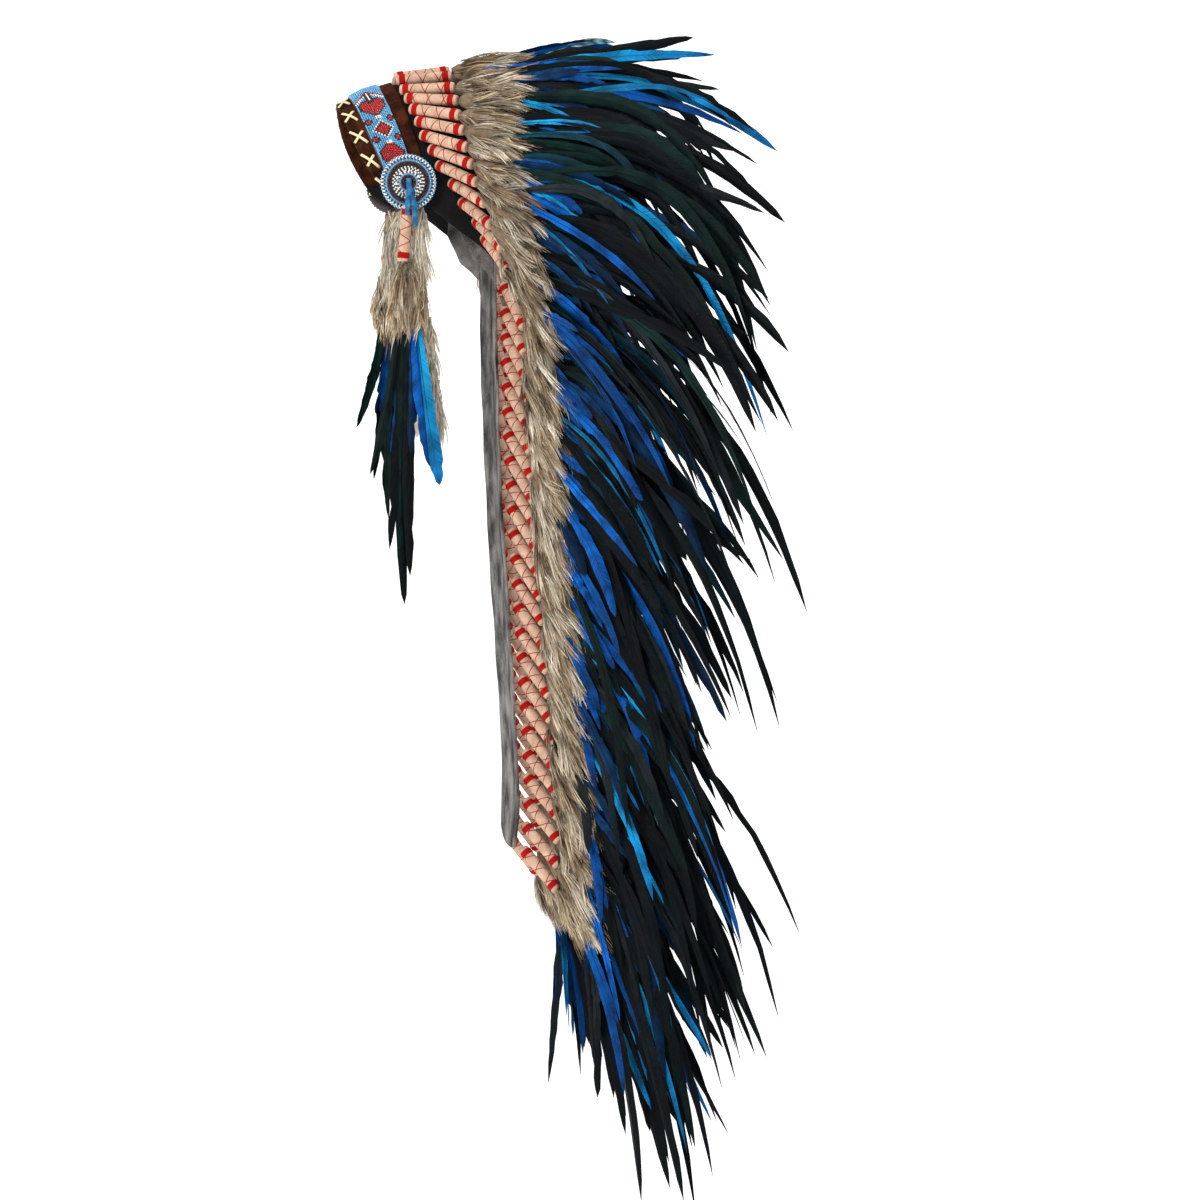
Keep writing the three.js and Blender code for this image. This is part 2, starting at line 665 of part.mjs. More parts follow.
// A tuft of fur at each unit: its outline across the row has a notch at its outer end where the feathers sit
function tuftOutline(unit, full) {
  const start = furStart(unit);
  const end = start + tuftLength * (full ? 1 : 0.8);
  const belly = full ? 17 : 11;
  const neck = full ? 5 : 4;
  const notch = start + tuftLength * notchShare;
  return [
    [start, -neck], [start + 30, -belly], [end, -9], [notch, 0], [end, 9], [start + 30, belly], [start, neck],
  ];
}

// The feathers of each unit as one blade of a comb: full is the blade, the rest are the valleys between blades
const plumeShares = [0, 0.36, 0.72, 1];
function plumeOutline(unit, full) {
  const start = furStart(unit) + tuftLength * notchShare + rootDepth;
  const place = Math.abs(unit);
  const ragged = 1 + 0.06 * Math.sin(place * 2.4) + 0.04 * Math.sin(place * 5.3);
  const reach = rowAt(unitAims, 'unit', place).reach * ragged * (full ? 1 : 0.66);
  const lift = full ? 16 * Math.sin(place * 1.9) : 0; // blades stand a little in and out of the row
  const half = [1.2, 3, 2.4, 0.6];
  const down = plumeShares.map((share, i) => [mix(start, reach, share), lift * share ** 2, half[i]]);
  const under = down.map(([run, height, h]) => [run, height - h]);
  const over = down.map(([run, height, h]) => [run, height + h]).reverse();
  return [...under, ...over];
}

// A body along a row of units: a full outline at each unit and a slighter one midway between two
function rowBody(from, to, outline) {
  const trim = 0.03;
  const stations = [from - 0.5 + trim];
  for (let unit = from; unit <= to; unit += 1) {
    stations.push(unit);
    if (unit < to) stations.push(unit + 0.5);
  }
  stations.push(to + 0.5 - trim);
  const flats = stations.map((unit) => outline(unit, Number.isInteger(unit)));
  const outlines = stations.map((unit, k) => flats[k].map(([run, height]) => unitPoint(unit, run, height)));
  const flat = (k) => flats[k].map(([run, height]) => new THREE.Vector2(run, height));
  return loft(outlines, flat(0), flat(flats.length - 1));
}

const topUnits = 2; // the middle bodies cover this many units on each side
const fanUnits = 1; // the last plumes fan out downwards past the last quill
addPiece('crown_tufts_middle', rowBody(-topUnits, topUnits, tuftOutline), greyFur);
addPiece('crown_plumes_middle', rowBody(-topUnits, topUnits, plumeOutline), blueFeather);
const stretch = 8;
for (const [word, side] of bothSides) {
  const row = (from, to, outline) => mirrored(rowBody(from, to, outline), side);
  addPiece(`nape_wraps_${word}`, mirrored(strungWraps(unitRange(crownPieces + 1, capUnits)), side), wrapFelt);
  for (let k = 0; k * stretch < stripUnits; k += 1) {
    const first = capUnits + 1 + k * stretch;
    const wraps = strungWraps(unitRange(first, first + stretch - 1));
    addPiece(`trailer_wraps_${word}_${k + 1}`, mirrored(wraps, side), wrapFelt);
  }
  addPiece(`crown_tufts_${word}`, row(topUnits + 1, capUnits, tuftOutline), greyFur);
  addPiece(`trailer_tufts_${word}`, row(capUnits + 1, lastUnit, tuftOutline), greyFur);
  addPiece(`crown_plumes_${word}`, row(topUnits + 1, capUnits, plumeOutline), blueFeather);
  addPiece(`trailer_plumes_${word}`, row(capUnits + 1, lastUnit + fanUnits, plumeOutline), blueFeather);
}

export default headdress;
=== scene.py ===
import math

import bpy
import numpy as np
from mathutils import Matrix, Vector


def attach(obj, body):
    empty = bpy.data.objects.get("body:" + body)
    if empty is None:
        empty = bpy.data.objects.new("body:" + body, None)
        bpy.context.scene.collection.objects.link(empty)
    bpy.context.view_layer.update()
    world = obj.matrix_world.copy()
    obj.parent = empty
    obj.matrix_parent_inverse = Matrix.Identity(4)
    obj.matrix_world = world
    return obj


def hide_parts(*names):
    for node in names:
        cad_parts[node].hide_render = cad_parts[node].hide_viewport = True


# A feathered headdress.  Sizes in the tables below are in millimetres, in the part's own frame: Z up, the
# face towards -Y, the wearer's left towards +X, the origin inside the top of the cap.
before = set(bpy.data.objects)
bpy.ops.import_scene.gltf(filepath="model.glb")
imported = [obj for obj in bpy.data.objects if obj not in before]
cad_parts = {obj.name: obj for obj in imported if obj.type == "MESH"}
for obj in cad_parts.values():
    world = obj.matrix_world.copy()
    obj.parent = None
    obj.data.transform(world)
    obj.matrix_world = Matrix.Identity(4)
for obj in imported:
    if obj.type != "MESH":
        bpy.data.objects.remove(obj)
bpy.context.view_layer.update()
rng = np.random.default_rng(7)
degrees = math.pi / 180
bothSides = [("left", 1), ("right", -1)]
print("frame loaded")


# small tools for arrays of points

def unit(v):
    return v / np.maximum(np.linalg.norm(v, axis=-1, keepdims=True), 1e-9)


def dot(a, b):
    return (a * b).sum(-1, keepdims=True)


def mix(a, b, share):
    return a + (b - a) * share


def xyz(x, y, z):
    return np.stack(np.broadcast_arrays(x, y, z), -1).astype(float)


def squareTo(along, up):
    # across and up, both made square to along
    across = unit(np.cross(along, up))
    return across, unit(np.cross(across, along))


def around(a, b, angle):
    # from a towards b by the angle
    return a * np.cos(angle)[..., None] + b * np.sin(angle)[..., None]


def srgb(text):
    # hex colour to linear light
    c = np.array([int(text[i:i + 2], 16) for i in (0, 2, 4)]) / 255
    return np.where(c <= 0.04045, c / 12.92, ((c + 0.055) / 1.055) ** 2.4)


def rgba(text):
    return (*srgb(text), 1.0)


def gridFaces(rows, columns, closed=False):
    # quads between neighbours of a grid stored row by row; closed joins the last column to the first
    r, c = np.meshgrid(np.arange(rows - 1), np.arange(columns if closed else columns - 1), indexing="ij")
    a, b = r * columns + c, r * columns + (c + 1) % columns
    return np.stack([a, b, b + columns, a + columns], -1).reshape(-1, 4)


def copies(faces, count, pointsEach):
    return (faces[None] + np.arange(count)[:, None, None] * pointsEach).reshape(-1, faces.shape[1])


def tubes(rings):
    # rings is (count, stations, sides, 3): closed tubes, each with a fan at both ends
    count, stations, sides = rings.shape[:3]
    ends = rings[:, [0, -1]].mean(2)
    points = np.concatenate([rings.reshape(count, -1, 3), ends], 1)
    k = np.arange(sides)
    nxt = (k + 1) % sides
    first, last = np.full(sides, stations * sides), np.full(sides, stations * sides + 1)
    base = (stations - 1) * sides
    fans = np.concatenate([np.stack([first, nxt, k], -1), np.stack([last, base + k, base + nxt], -1)])
    each = stations * sides + 2
    walls = copies(gridFaces(stations, sides, True), count, each)
    return points.reshape(-1, 3), [walls, copies(fans, count, each)], each


def shell(outer, inner):
    # a wall between two grids of points, closed along its four edges
    rows, columns = outer.shape[:2]
    n = rows * columns
    front = gridFaces(rows, columns)
    back = gridFaces(rows, columns)[:, ::-1] + n
    i = np.arange(n).reshape(rows, columns)
    rim = np.concatenate([i[0, :], i[1:, -1], i[-1, -2::-1], i[-2:0:-1, 0]])
    following = np.roll(rim, -1)
    edge = np.stack([rim, rim + n, following + n, following], -1)
    return np.concatenate([outer.reshape(-1, 3), inner.reshape(-1, 3)]), [front, back, edge]


def outward(points, blocks):
    # turns every face round if the closed surface holds a negative volume
    volume = sum(np.einsum("ij,ij->", points[f[:, 0]], np.cross(points[f[:, 1]], points[f[:, 2]]))
                 + (np.einsum("ij,ij->", points[f[:, 0]], np.cross(points[f[:, 2]], points[f[:, 3]]))
                    if f.shape[1] == 4 else 0) for f in blocks)
    return blocks if volume > 0 else [f[:, ::-1] for f in blocks]


def join(shapes):
    # a shape is its points, its blocks of faces and any arrays with one row for each point
    blocks, start = [], 0
    for points, faces, *_ in shapes:
        blocks += [f + start for f in faces]
        start += len(points)
    points, _, *others = zip(*shapes)
    return np.concatenate(points), blocks, *map(np.concatenate, others)


def tinted(points, blocks, colour):
    # a closed shape in one colour
    return points, outward(points, blocks), np.tile(colour, (len(points), 1))


def mirror(side, points, blocks, *others):
    # the right-hand shape is the left-hand one turned over in X
    if side < 0:
        points, blocks = points * [-1, 1, 1], [f[:, ::-1] for f in blocks]
    return points, blocks, *others


def addPiece(name, points, blocks, material, slot, replaces=(), uv=None, colour=None, closed=False):
    # points in mm; blocks are arrays of quads or triangles; uv and colour have one row for each point
    blocks = [b for b in blocks if len(b)]
    if closed:
        blocks = outward(points, blocks)
    loops = np.concatenate([b.ravel() for b in blocks])
    sizes = np.concatenate([np.full(len(b), b.shape[1]) for b in blocks])
    mesh = bpy.data.meshes.new(name)
    mesh.vertices.add(len(points))
    mesh.vertices.foreach_set("co", (points * 0.001).astype(np.float32).ravel())
    mesh.loops.add(len(loops))
    mesh.loops.foreach_set("vertex_index", loops.astype(np.int32))
    mesh.polygons.add(len(sizes))
    mesh.polygons.foreach_set("loop_start", np.concatenate([[0], np.cumsum(sizes)[:-1]]).astype(np.int32))
    mesh.polygons.foreach_set("use_smooth", np.full(len(sizes), True))
    if uv is not None:
        layer = mesh.uv_layers.new(name="surface")
        layer.data.foreach_set("uv", uv[loops].astype(np.float32).ravel())
    if colour is not None:
        layer = mesh.attributes.new("tint", "FLOAT_COLOR", "POINT")
        full = np.concatenate([colour, np.ones((len(colour), 1))], 1)
        layer.data.foreach_set("color", full.astype(np.float32).ravel())
    mesh.update(calc_edges=True)
    mesh.validate()
    mesh.materials.append(material)
    piece = bpy.data.objects.new(name, mesh)
    bpy.context.collection.objects.link(piece)
    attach(piece, "root")
    if replaces:
        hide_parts(*replaces)
    return piece


def addTinted(name, shape, material, slot, replaces):
    points, blocks, tints, *uv = shape
    addPiece(name, points, blocks, material, slot, replaces, uv=uv[0] if uv else None, colour=tints)


# materials

class Wire:
    # a node's output; arithmetic on it adds Math nodes
    def __init__(self, paint, socket):
        self.paint, self.socket = paint, socket

    def math(self, operation, *values):
        return self.paint.node("ShaderNodeMath", {"operation": operation}, dict(enumerate(values)))

    def __add__(self, other): return self.math("ADD", self, other)
    def __sub__(self, other): return self.math("SUBTRACT", self, other)
    def __rsub__(self, other): return self.math("SUBTRACT", other, self)
    def __mul__(self, other): return self.math("MULTIPLY", self, other)
    __radd__ = __add__
    __rmul__ = __mul__


class Paint:
    # a material with one Principled shader; node() makes every other node
    def __init__(self, name, roughness=0.8, **fixed):
        self.material = bpy.data.materials.new(name)
        self.material.use_nodes = True
        self.tree = self.material.node_tree
        self.shader = self.tree.nodes["Principled BSDF"]
        self.shader.inputs["Roughness"].default_value = roughness
        for key, value in fixed.items():
            self.shader.inputs[key.replace("_", " ")].default_value = value

    def node(self, kind, settings=None, inputs=None, output=0):
        made = self.tree.nodes.new(kind)
        for key, value in (settings or {}).items():
            setattr(made, key, value)
        for key, value in (inputs or {}).items():
            if isinstance(value, Wire):
                self.tree.links.new(value.socket, made.inputs[key])
            else:
                made.inputs[key].default_value = value
        return Wire(self, made.outputs[output])

    def place(self):
        return self.node("ShaderNodeTexCoord", output="Object")

    def noise(self, scale, detail=3.0, roughness=0.5, vector=None):
        return self.node("ShaderNodeTexNoise", {}, {
            "Vector": vector or self.place(), "Scale": scale, "Detail": detail, "Roughness": roughness})

    def step(self, value, low, high):
        # rises from 0 to 1 between low and high
        return self.node("ShaderNodeMapRange", {"interpolation_type": "SMOOTHSTEP"},
                         {"Value": value, "From Min": low, "From Max": high})

    def blend(self, share, a, b):
        return self.node("ShaderNodeMix", {"data_type": "RGBA"}, {0: share, 6: a, 7: b}, output=2)

    def scaleColour(self, colour, amount):
        # multiplies a colour by a number
        grey = self.node("ShaderNodeCombineXYZ", {}, {0: amount, 1: amount, 2: amount})
        return self.node("ShaderNodeVectorMath", {"operation": "MULTIPLY"}, {0: colour, 1: grey})

    def surface(self):
        # the map's u and v
        uv = self.node("ShaderNodeUVMap", {"uv_map": "surface"})
        split = self.node("ShaderNodeSeparateXYZ", {}, {0: uv}).socket.node
        return Wire(self, split.outputs[0]), Wire(self, split.outputs[1])

    def tint(self):
        return self.node("ShaderNodeAttribute", {"attribute_name": "tint"}, output="Color")

    def finish(self, colour, height=None, depth=0.001, roughness=None):
        self.tree.links.new(colour.socket, self.shader.inputs["Base Color"])
        if roughness is not None:
            self.tree.links.new(roughness.socket, self.shader.inputs["Roughness"])
        if height is not None:
            bump = self.node("ShaderNodeBump", {}, {"Height": height, "Distance": depth, "Strength": 1.0})
            self.tree.links.new(bump.socket, self.shader.inputs["Normal"])
        return self.material


def feltPaint(name, dark, light):
    # matted wool: fine fuzz over soft blotches
    paint = Paint(name, 0.95, Specular_IOR_Level=0.2)
    fuzz = paint.noise(900, 4, 0.65)
    blotch = paint.noise(45, 3)
    colour = paint.blend(paint.step(fuzz * 0.6 + blotch * 0.5, 0.35, 0.8), rgba(dark), rgba(light))
    return paint.finish(colour, fuzz + blotch * 0.5, 0.0006)


def suedePaint(name, dark, light, blotchScale=30):
    # brushed leather: nap clouds, a fine grain and a few creases
    paint = Paint(name, 0.88, Specular_IOR_Level=0.1)
    nap = paint.noise(blotchScale, 4, 0.6)
    grain = paint.noise(1100, 3, 0.6)
    crease = paint.noise(blotchScale * 2.6, 2, 0.4)
    colour = paint.blend(paint.step(nap * 0.75 + grain * 0.3, 0.38, 0.72), rgba(dark), rgba(light))
    return paint.finish(colour, grain * 0.35 + crease + nap * 0.6, 0.0008)


def lacePaint():
    paint = Paint("cream lace", 0.7)
    grain = paint.noise(700, 3)
    colour = paint.blend(paint.step(grain, 0.3, 0.7), rgba("cdb982"), rgba("f0e4bc"))
    return paint.finish(colour, grain, 0.0003)


def beadPaint():
    # glazed glass: the colour of each bead with a faint mottling
    paint = Paint("glass beads", 0.22, Coat_Weight=0.4, Coat_Roughness=0.08)
    cloud = paint.noise(420, 2)
    colour = paint.scaleColour(paint.tint(), paint.step(cloud, 0.2, 0.8) * 0.3 + 0.8)
    return paint.finish(colour)


def wrapPaint(twists):
    # felt with a wound red band near each end and two threads that cross round it: u runs round, v along
    paint = Paint("wrapped felt", 0.92, Specular_IOR_Level=0.2)
    u, v = paint.surface()
    fuzz = paint.noise(800, 4, 0.65)
    blotch = paint.noise(120, 2)
    felt = paint.blend(paint.step(fuzz * 0.5 + blotch * 0.5, 0.3, 0.75), rgba("b08a74"), rgba("dcbaa0"))
    low = paint.step(v, 0.055, 0.065) * (1 - paint.step(v, 0.165, 0.175))
    high = paint.step(v, 0.825, 0.835) * (1 - paint.step(v, 0.935, 0.945))
    band = low + high
    wound = band.math("SINE", v * 760)
    middle = paint.step(v, 0.165, 0.175) * (1 - paint.step(v, 0.825, 0.835))

    def thread(turns, start):
        # distance round the wrap from a helix, 0 on the thread
        off = u.math("FRACT", u + v * turns + start) - 0.5
        return 1 - paint.step(off.math("ABSOLUTE", off), 0.022, 0.034)

    threads = middle.math("MAXIMUM", thread(twists, 0.1), thread(-twists, 0.35)) * middle
    red = paint.blend(paint.step(wound, -1, 1), rgba("b40b0b"), rgba("e81c12"))
    colour = paint.blend(band, felt, red)
    colour = paint.blend(threads, colour, rgba("98120f"))
    return paint.finish(colour, fuzz * 0.4 + threads * 0.9 + band * wound * 0.5, 0.0005)


def furPaint():
    paint = Paint("fur", 0.75, Specular_IOR_Level=0.15)
    streak = paint.noise(260, 3, 0.6)
    return paint.finish(paint.scaleColour(paint.tint(), paint.step(streak, 0.25, 0.75) * 0.45 + 0.72))


def featherPaint():
    # fine barbs swept back from the shaft: v - |u| * 1.15 is the same all along one barb
    paint = Paint("feather", 0.4, Specular_IOR_Level=0.07)
    u, v = paint.surface()
    out = u.math("ABSOLUTE", u)
    comb = paint.node("ShaderNodeCombineXYZ", {}, {0: out * 0.05, 1: v * 0.9, 2: u.math("SIGN", u)})
    barbs = paint.noise(1.0, 3, 0.6, vector=comb)
    patch = paint.noise(60, 2)
    shade = paint.step(barbs, 0.28, 0.72) * 0.95 + paint.step(patch, 0.3, 0.7) * 0.4
    return paint.finish(paint.scaleColour(paint.tint(), shade + 0.25), barbs, 0.0007,
                        0.28 + paint.step(barbs, 0.3, 0.7) * 0.26)


blackFelt = feltPaint("black felt", "0a0a0b", "1c1c1e")
brownSuede = suedePaint("brown suede", "1e0802", "4e240c", 60)
greySuede = suedePaint("grey suede", "262423", "8e8b87", 26)
blueSuede = suedePaint("blue suede", "1c5078", "3a82b4", 160)
creamLace = lacePaint()
beadGlass = beadPaint()
wrapFelt = wrapPaint(3.4)
furHair = furPaint()
featherVane = featherPaint()
print("materials made")


# head form: arches from the brow to the nape, each a superellipse between its two rims

capForm = {
    "crownY": [-90, -64, -36, 0, 36, 66, 87, 92, 83, 68],
    "crownZ": [-23, -9, -0.5, 2.5, -6, -28, -62, -102, -142, -178],
    "sideX": [73, 75.5, 77, 76, 74, 72, 71, 70, 69, 68],
    "sideY": [-49, -26, -3, 11, 26, 37, 46, 53, 58, 62],
    "sideZ": [-111, -119, -126, -137, -149, -156, -163, -169, -175, -179],
    "bow": [6, -3, -4, -1.5, 0, 0, 0, 0, 0, 0],
    "fullness": [1.8, 1.9, 2, 2.1, 2.15, 2.2, 2.2, 2.2, 2.1, 2],
    "wall": 2.5, "bandArches": 2, "bandTurn": 80, "bandHeight": 0.6, "bandWall": 2, "beadHeight": 3.2,
    "beadEdge": 0.25,
}


def column(table, key, place):
    # straight lines between rows, carried on past both ends
    values = np.array(table[key], float)
    i = np.clip(np.floor(place).astype(int), 0, len(values) - 2)
    return values[i] + (values[i + 1] - values[i]) * (place - i)


def headPoint(arch, turn):
    # across is sin(turn) and rise cos(turn), each to the power 2 / fullness; bow swells it forward halfway up
    arch, turn = np.broadcast_arrays(np.asarray(arch, float), np.asarray(turn, float))
    power = 2 / column(capForm, "fullness", arch)
    across = np.sign(turn) * np.abs(np.sin(turn * degrees)) ** power
    rise = np.maximum(0, np.cos(turn * degrees)) ** power
    y = mix(column(capForm, "sideY", arch), column(capForm, "crownY", arch), rise)
    y = y - column(capForm, "bow", arch) * np.sin(math.pi * rise)
    z = mix(column(capForm, "sideZ", arch), column(capForm, "crownZ", arch), rise)
    return xyz(column(capForm, "sideX", arch) * across, y, z)


def headNormal(arch, turn):
    # across the two directions in which the surface runs
    arch, turn = np.broadcast_arrays(np.asarray(arch, float), np.asarray(turn, float))
    last = len(capForm["crownY"]) - 1
    along = headPoint(np.minimum(arch + 0.2, last), turn) - headPoint(np.maximum(arch - 0.4, 0), turn)
    round_ = headPoint(arch, np.minimum(turn + 0.4, 90)) - headPoint(arch, np.maximum(turn - 0.4, -90))
    return unit(np.cross(round_, along))


def offHead(arch, turn, height):
    return headPoint(arch, turn) + headNormal(arch, turn) * np.asarray(height, float)[..., None]


def runRound(arch, lastTurn, count):
    # turns from the middle of an arch to one side, and the distance run to each
    turns = np.linspace(0, lastTurn, count)
    steps = np.linalg.norm(np.diff(headPoint(arch, turns), axis=0), axis=1)
    return turns, np.concatenate([[0], np.cumsum(steps)])


def headGrid(fromArch, toArch, rows, turn, columns, height):
    arch, angle = np.meshgrid(np.linspace(fromArch, toArch, rows), np.linspace(-turn, turn, columns),
                              indexing="ij")
    return offHead(arch, angle, height)


cap = headGrid(0, 9, 55, 90, 73, 0)
capInside = headGrid(0, 9, 55, 90, 73, -capForm["wall"])
addPiece("felt_cap", *shell(cap, capInside), blackFelt, "black_felt", ["skull_cap"], closed=True)


def bandSurface():
    # a suede band with a slightly rolled lower edge and shallow dents
    rows, columns = 25, 121
    height = capForm["bandHeight"]
    arch = np.linspace(0, capForm["bandArches"], rows)[:, None]
    angle = np.linspace(-capForm["bandTurn"], capForm["bandTurn"], columns)[None]
    dent = 0.25 * np.sin(angle / 7) * np.sin(arch * 5 + angle / 13)
    outer = offHead(arch, angle, height + capForm["bandWall"] + dent)
    return shell(outer, offHead(arch, angle, height))


suedeBand = addPiece("suede_band", *bandSurface(), brownSuede, "brown_suede", ["brow_band"], closed=True)
edgeRound = suedeBand.modifiers.new("edges", "BEVEL")
edgeRound.width, edgeRound.segments, edgeRound.limit_method = 0.0006, 2, "ANGLE"


# brown suede turned in behind the band, and the grey suede lining that shows below the nape

liningForm = {
    # first arch, last arch, turn to each side, depth under the cap's face, wall
    "band": (0, 2, 80, 3.2, 1.0), "nape": (4.2, 9, 90, 3.4, 1.2),
    "napeDrop": 20,
}


def lining(fromArch, toArch, turn, depth, wall, drop=0):
    # a sheet inside the cap, its rim let down by drop: the last of each side goes straight on below the cap
    arch, angle = np.meshgrid(np.linspace(fromArch, toArch, 25), np.linspace(-turn, turn, 61), indexing="ij")
    outer = offHead(arch, angle, -depth)
    outer[..., 2] -= np.clip((np.abs(angle) - 78) / 12, 0, 1) * drop * np.clip((arch - fromArch) * 0.8, 0, 1)
    return shell(outer, outer - headNormal(arch, angle) * wall)


addPiece("band_lining", *lining(*liningForm["band"]), brownSuede, "brown_suede", closed=True)
addPiece("nape_lining", *lining(*liningForm["nape"], liningForm["napeDrop"]), greySuede, "grey_suede",
         closed=True)


# beads

beadColours = {"blue": "5fb0de", "red": "c40c10", "white": "f4f4f0", "black": "08080b", "wine": "5c0814"}
beadForm = {"pitch": 2.0, "columns": 15, "length": 1.86, "radius": 0.94, "lift": 0.9, "backing": "2c060c"}
beadNames = list(beadColours)
beadTints = np.array([srgb(beadColours[n]) for n in beadNames])


def beadCloud(centres, axes, normals, length, radius, kinds):
    # every bead is a barrel of six sides with pointed ends, its hole along its axis
    across = unit(np.cross(axes, normals))
    ring = centres[:, None] + around(normals[:, None], across[:, None], np.arange(6) * math.pi / 3) * radius
    rings = np.stack([ring - axes[:, None] * length * 0.3, ring + axes[:, None] * length * 0.3], 1)
    points, blocks, each = tubes(rings)
    points = points.reshape(-1, each, 3)
    points[:, -2] -= axes * length * 0.2
    points[:, -1] += axes * length * 0.2
    shade = 0.86 + 0.28 * rng.random((len(centres), 1))
    tints = np.repeat(beadTints[kinds] * shade, each, 0)
    return points.reshape(-1, 3), blocks, tints


def grow(mask):
    # the mask and every neighbour above, below, left and right of it
    wide = np.pad(mask, 1)
    return wide[1:-1, 1:-1] | wide[:-2, 1:-1] | wide[2:, 1:-1] | wide[1:-1, :-2] | wide[1:-1, 2:]


def bandPattern(k, j):
    # k counts rows from the middle of the brow, j columns from the middle of the strip.  From the brow to
    # each side: chevron, bar, heart, diamond between four small steps, heart turned the other way
    away = np.abs(k)
    kinds = np.full(k.shape, beadNames.index("blue"))

    def paintShape(mask, inside, *outlines):
        edge = mask
        for name in outlines:
            wider = grow(edge)
            kinds[wider & ~edge] = beadNames.index(name)
            edge = wider
        kinds[mask] = beadNames.index(inside)

    def heart(centre, way):
        # lobes at the back with a notch between them, sides closing to a blunt point
        y = (away - centre) * way
        side = np.abs(j)
        body = (y >= -4) & (y <= 5) & (side <= np.minimum(5.2, 6.2 - y * 0.9))
        return body & ~((y <= -3) & (side < 1.2)) & ~((y <= -3.5) & (side > 4.2))

    chevron = away - 9 - np.abs(j) * 0.9
    kinds[(chevron >= 0) & (chevron < 1.3)] = beadNames.index("red")
    kinds[(chevron >= 1.3) & (chevron < 2.6)] = beadNames.index("white")
    paintShape((away >= 11) & (away <= 17) & (np.abs(j) < 0.6), "white", "black")
    paintShape(heart(22, 1), "red", "black")
    paintShape(np.abs(away - 37) + np.abs(j) <= 3.6, "red", "black", "white")
    for centre in (31.5, 42.5):
        steps = np.abs(away - centre) + np.abs(np.abs(j) - 5.5) * 0.9
        paintShape(steps <= 1.7, "red", "black")
    paintShape(heart(51, -1), "red", "black")
    for first in (29, 44):
        kinds[(away >= first) & (away <= first + 1) & (np.abs(j) < 1.2)] = beadNames.index("white")
    return kinds


def beadedStrip():
    pitch, columns = beadForm["pitch"], beadForm["columns"]
    turns, run = runRound(1, capForm["bandTurn"], 400)
    half = int(run[-1] / pitch - 0.5)
    k, c = np.meshgrid(np.arange(-half, half + 1), np.arange(columns), indexing="ij")
    turn = np.sign(k) * np.interp(np.abs(k) * pitch, run, turns)
    edge = capForm["beadEdge"] * capForm["bandArches"]
    arch = mix(edge, capForm["bandArches"] - edge, (c + 0.5) / columns)
    height = capForm["beadHeight"] + beadForm["lift"]
    centres = offHead(arch, turn, height) + rng.normal(0, 0.08, arch.shape + (3,))
    axes = unit(offHead(arch + 0.05, turn, height) - offHead(arch - 0.05, turn, height))
    kinds = bandPattern(k, c - (columns - 1) / 2)
    return beadCloud(centres.reshape(-1, 3), axes.reshape(-1, 3), headNormal(arch, turn).reshape(-1, 3),
                     beadForm["length"], beadForm["radius"], kinds.ravel())


def stripBacking():
    # dark red cloth under the beads, showing as a thin line along both edges
    edge = capForm["beadEdge"] * capForm["bandArches"] - 0.03
    fromArch, toArch = edge, capForm["bandArches"] - edge
    low = headGrid(fromArch, toArch, 9, capForm["bandTurn"], 81, capForm["beadHeight"])
    high = headGrid(fromArch, toArch, 9, capForm["bandTurn"], 81, capForm["beadHeight"] + beadForm["lift"])
    return shell(high, low)


beadwork = join([beadedStrip(), tinted(*stripBacking(), srgb(beadForm["backing"]))])
addTinted("band_beadwork", beadwork, beadGlass, "seed_beads", ["beaded_strip"])
print("cap, band and beadwork made")

rosetteForm = {
    "x": 82.4, "y": -26.5, "z": -101, "radius": 27.5, "wall": 2.6, "crown": 1.0,
    "spacing": 1.75, "beadLength": 1.9, "beadRadius": 0.95, "leather": "2a1210",
    # radius of each ring of beads and the colours that take turns round it
    "rings": [
        (1.4, ["white"]), (3.2, ["black"]), (5.0, ["black"]), (6.8, ["wine"]), (8.6, ["blue"]),
        (10.3, ["wine", "white"]), (12.0, ["white", "white", "wine"]), (13.8, ["white", "black"]),
        (15.5, ["white", "black"]), (17.2, ["black"]), (18.9, ["black"]), (20.5, ["wine"]), (22.1, ["blue"]),
        (23.8, ["blue", "black"]), (25.3, ["white", "wine"]), (26.8, ["blue", "white"]),
    ],
    # the leather disc behind them: radius and height of each step
    "disc": [(0.0, 0.1), (26.4, 0.1), (27.3, 0.7), (27.0, 1.9), (14, 2.7), (0.0, 3.1)],
}


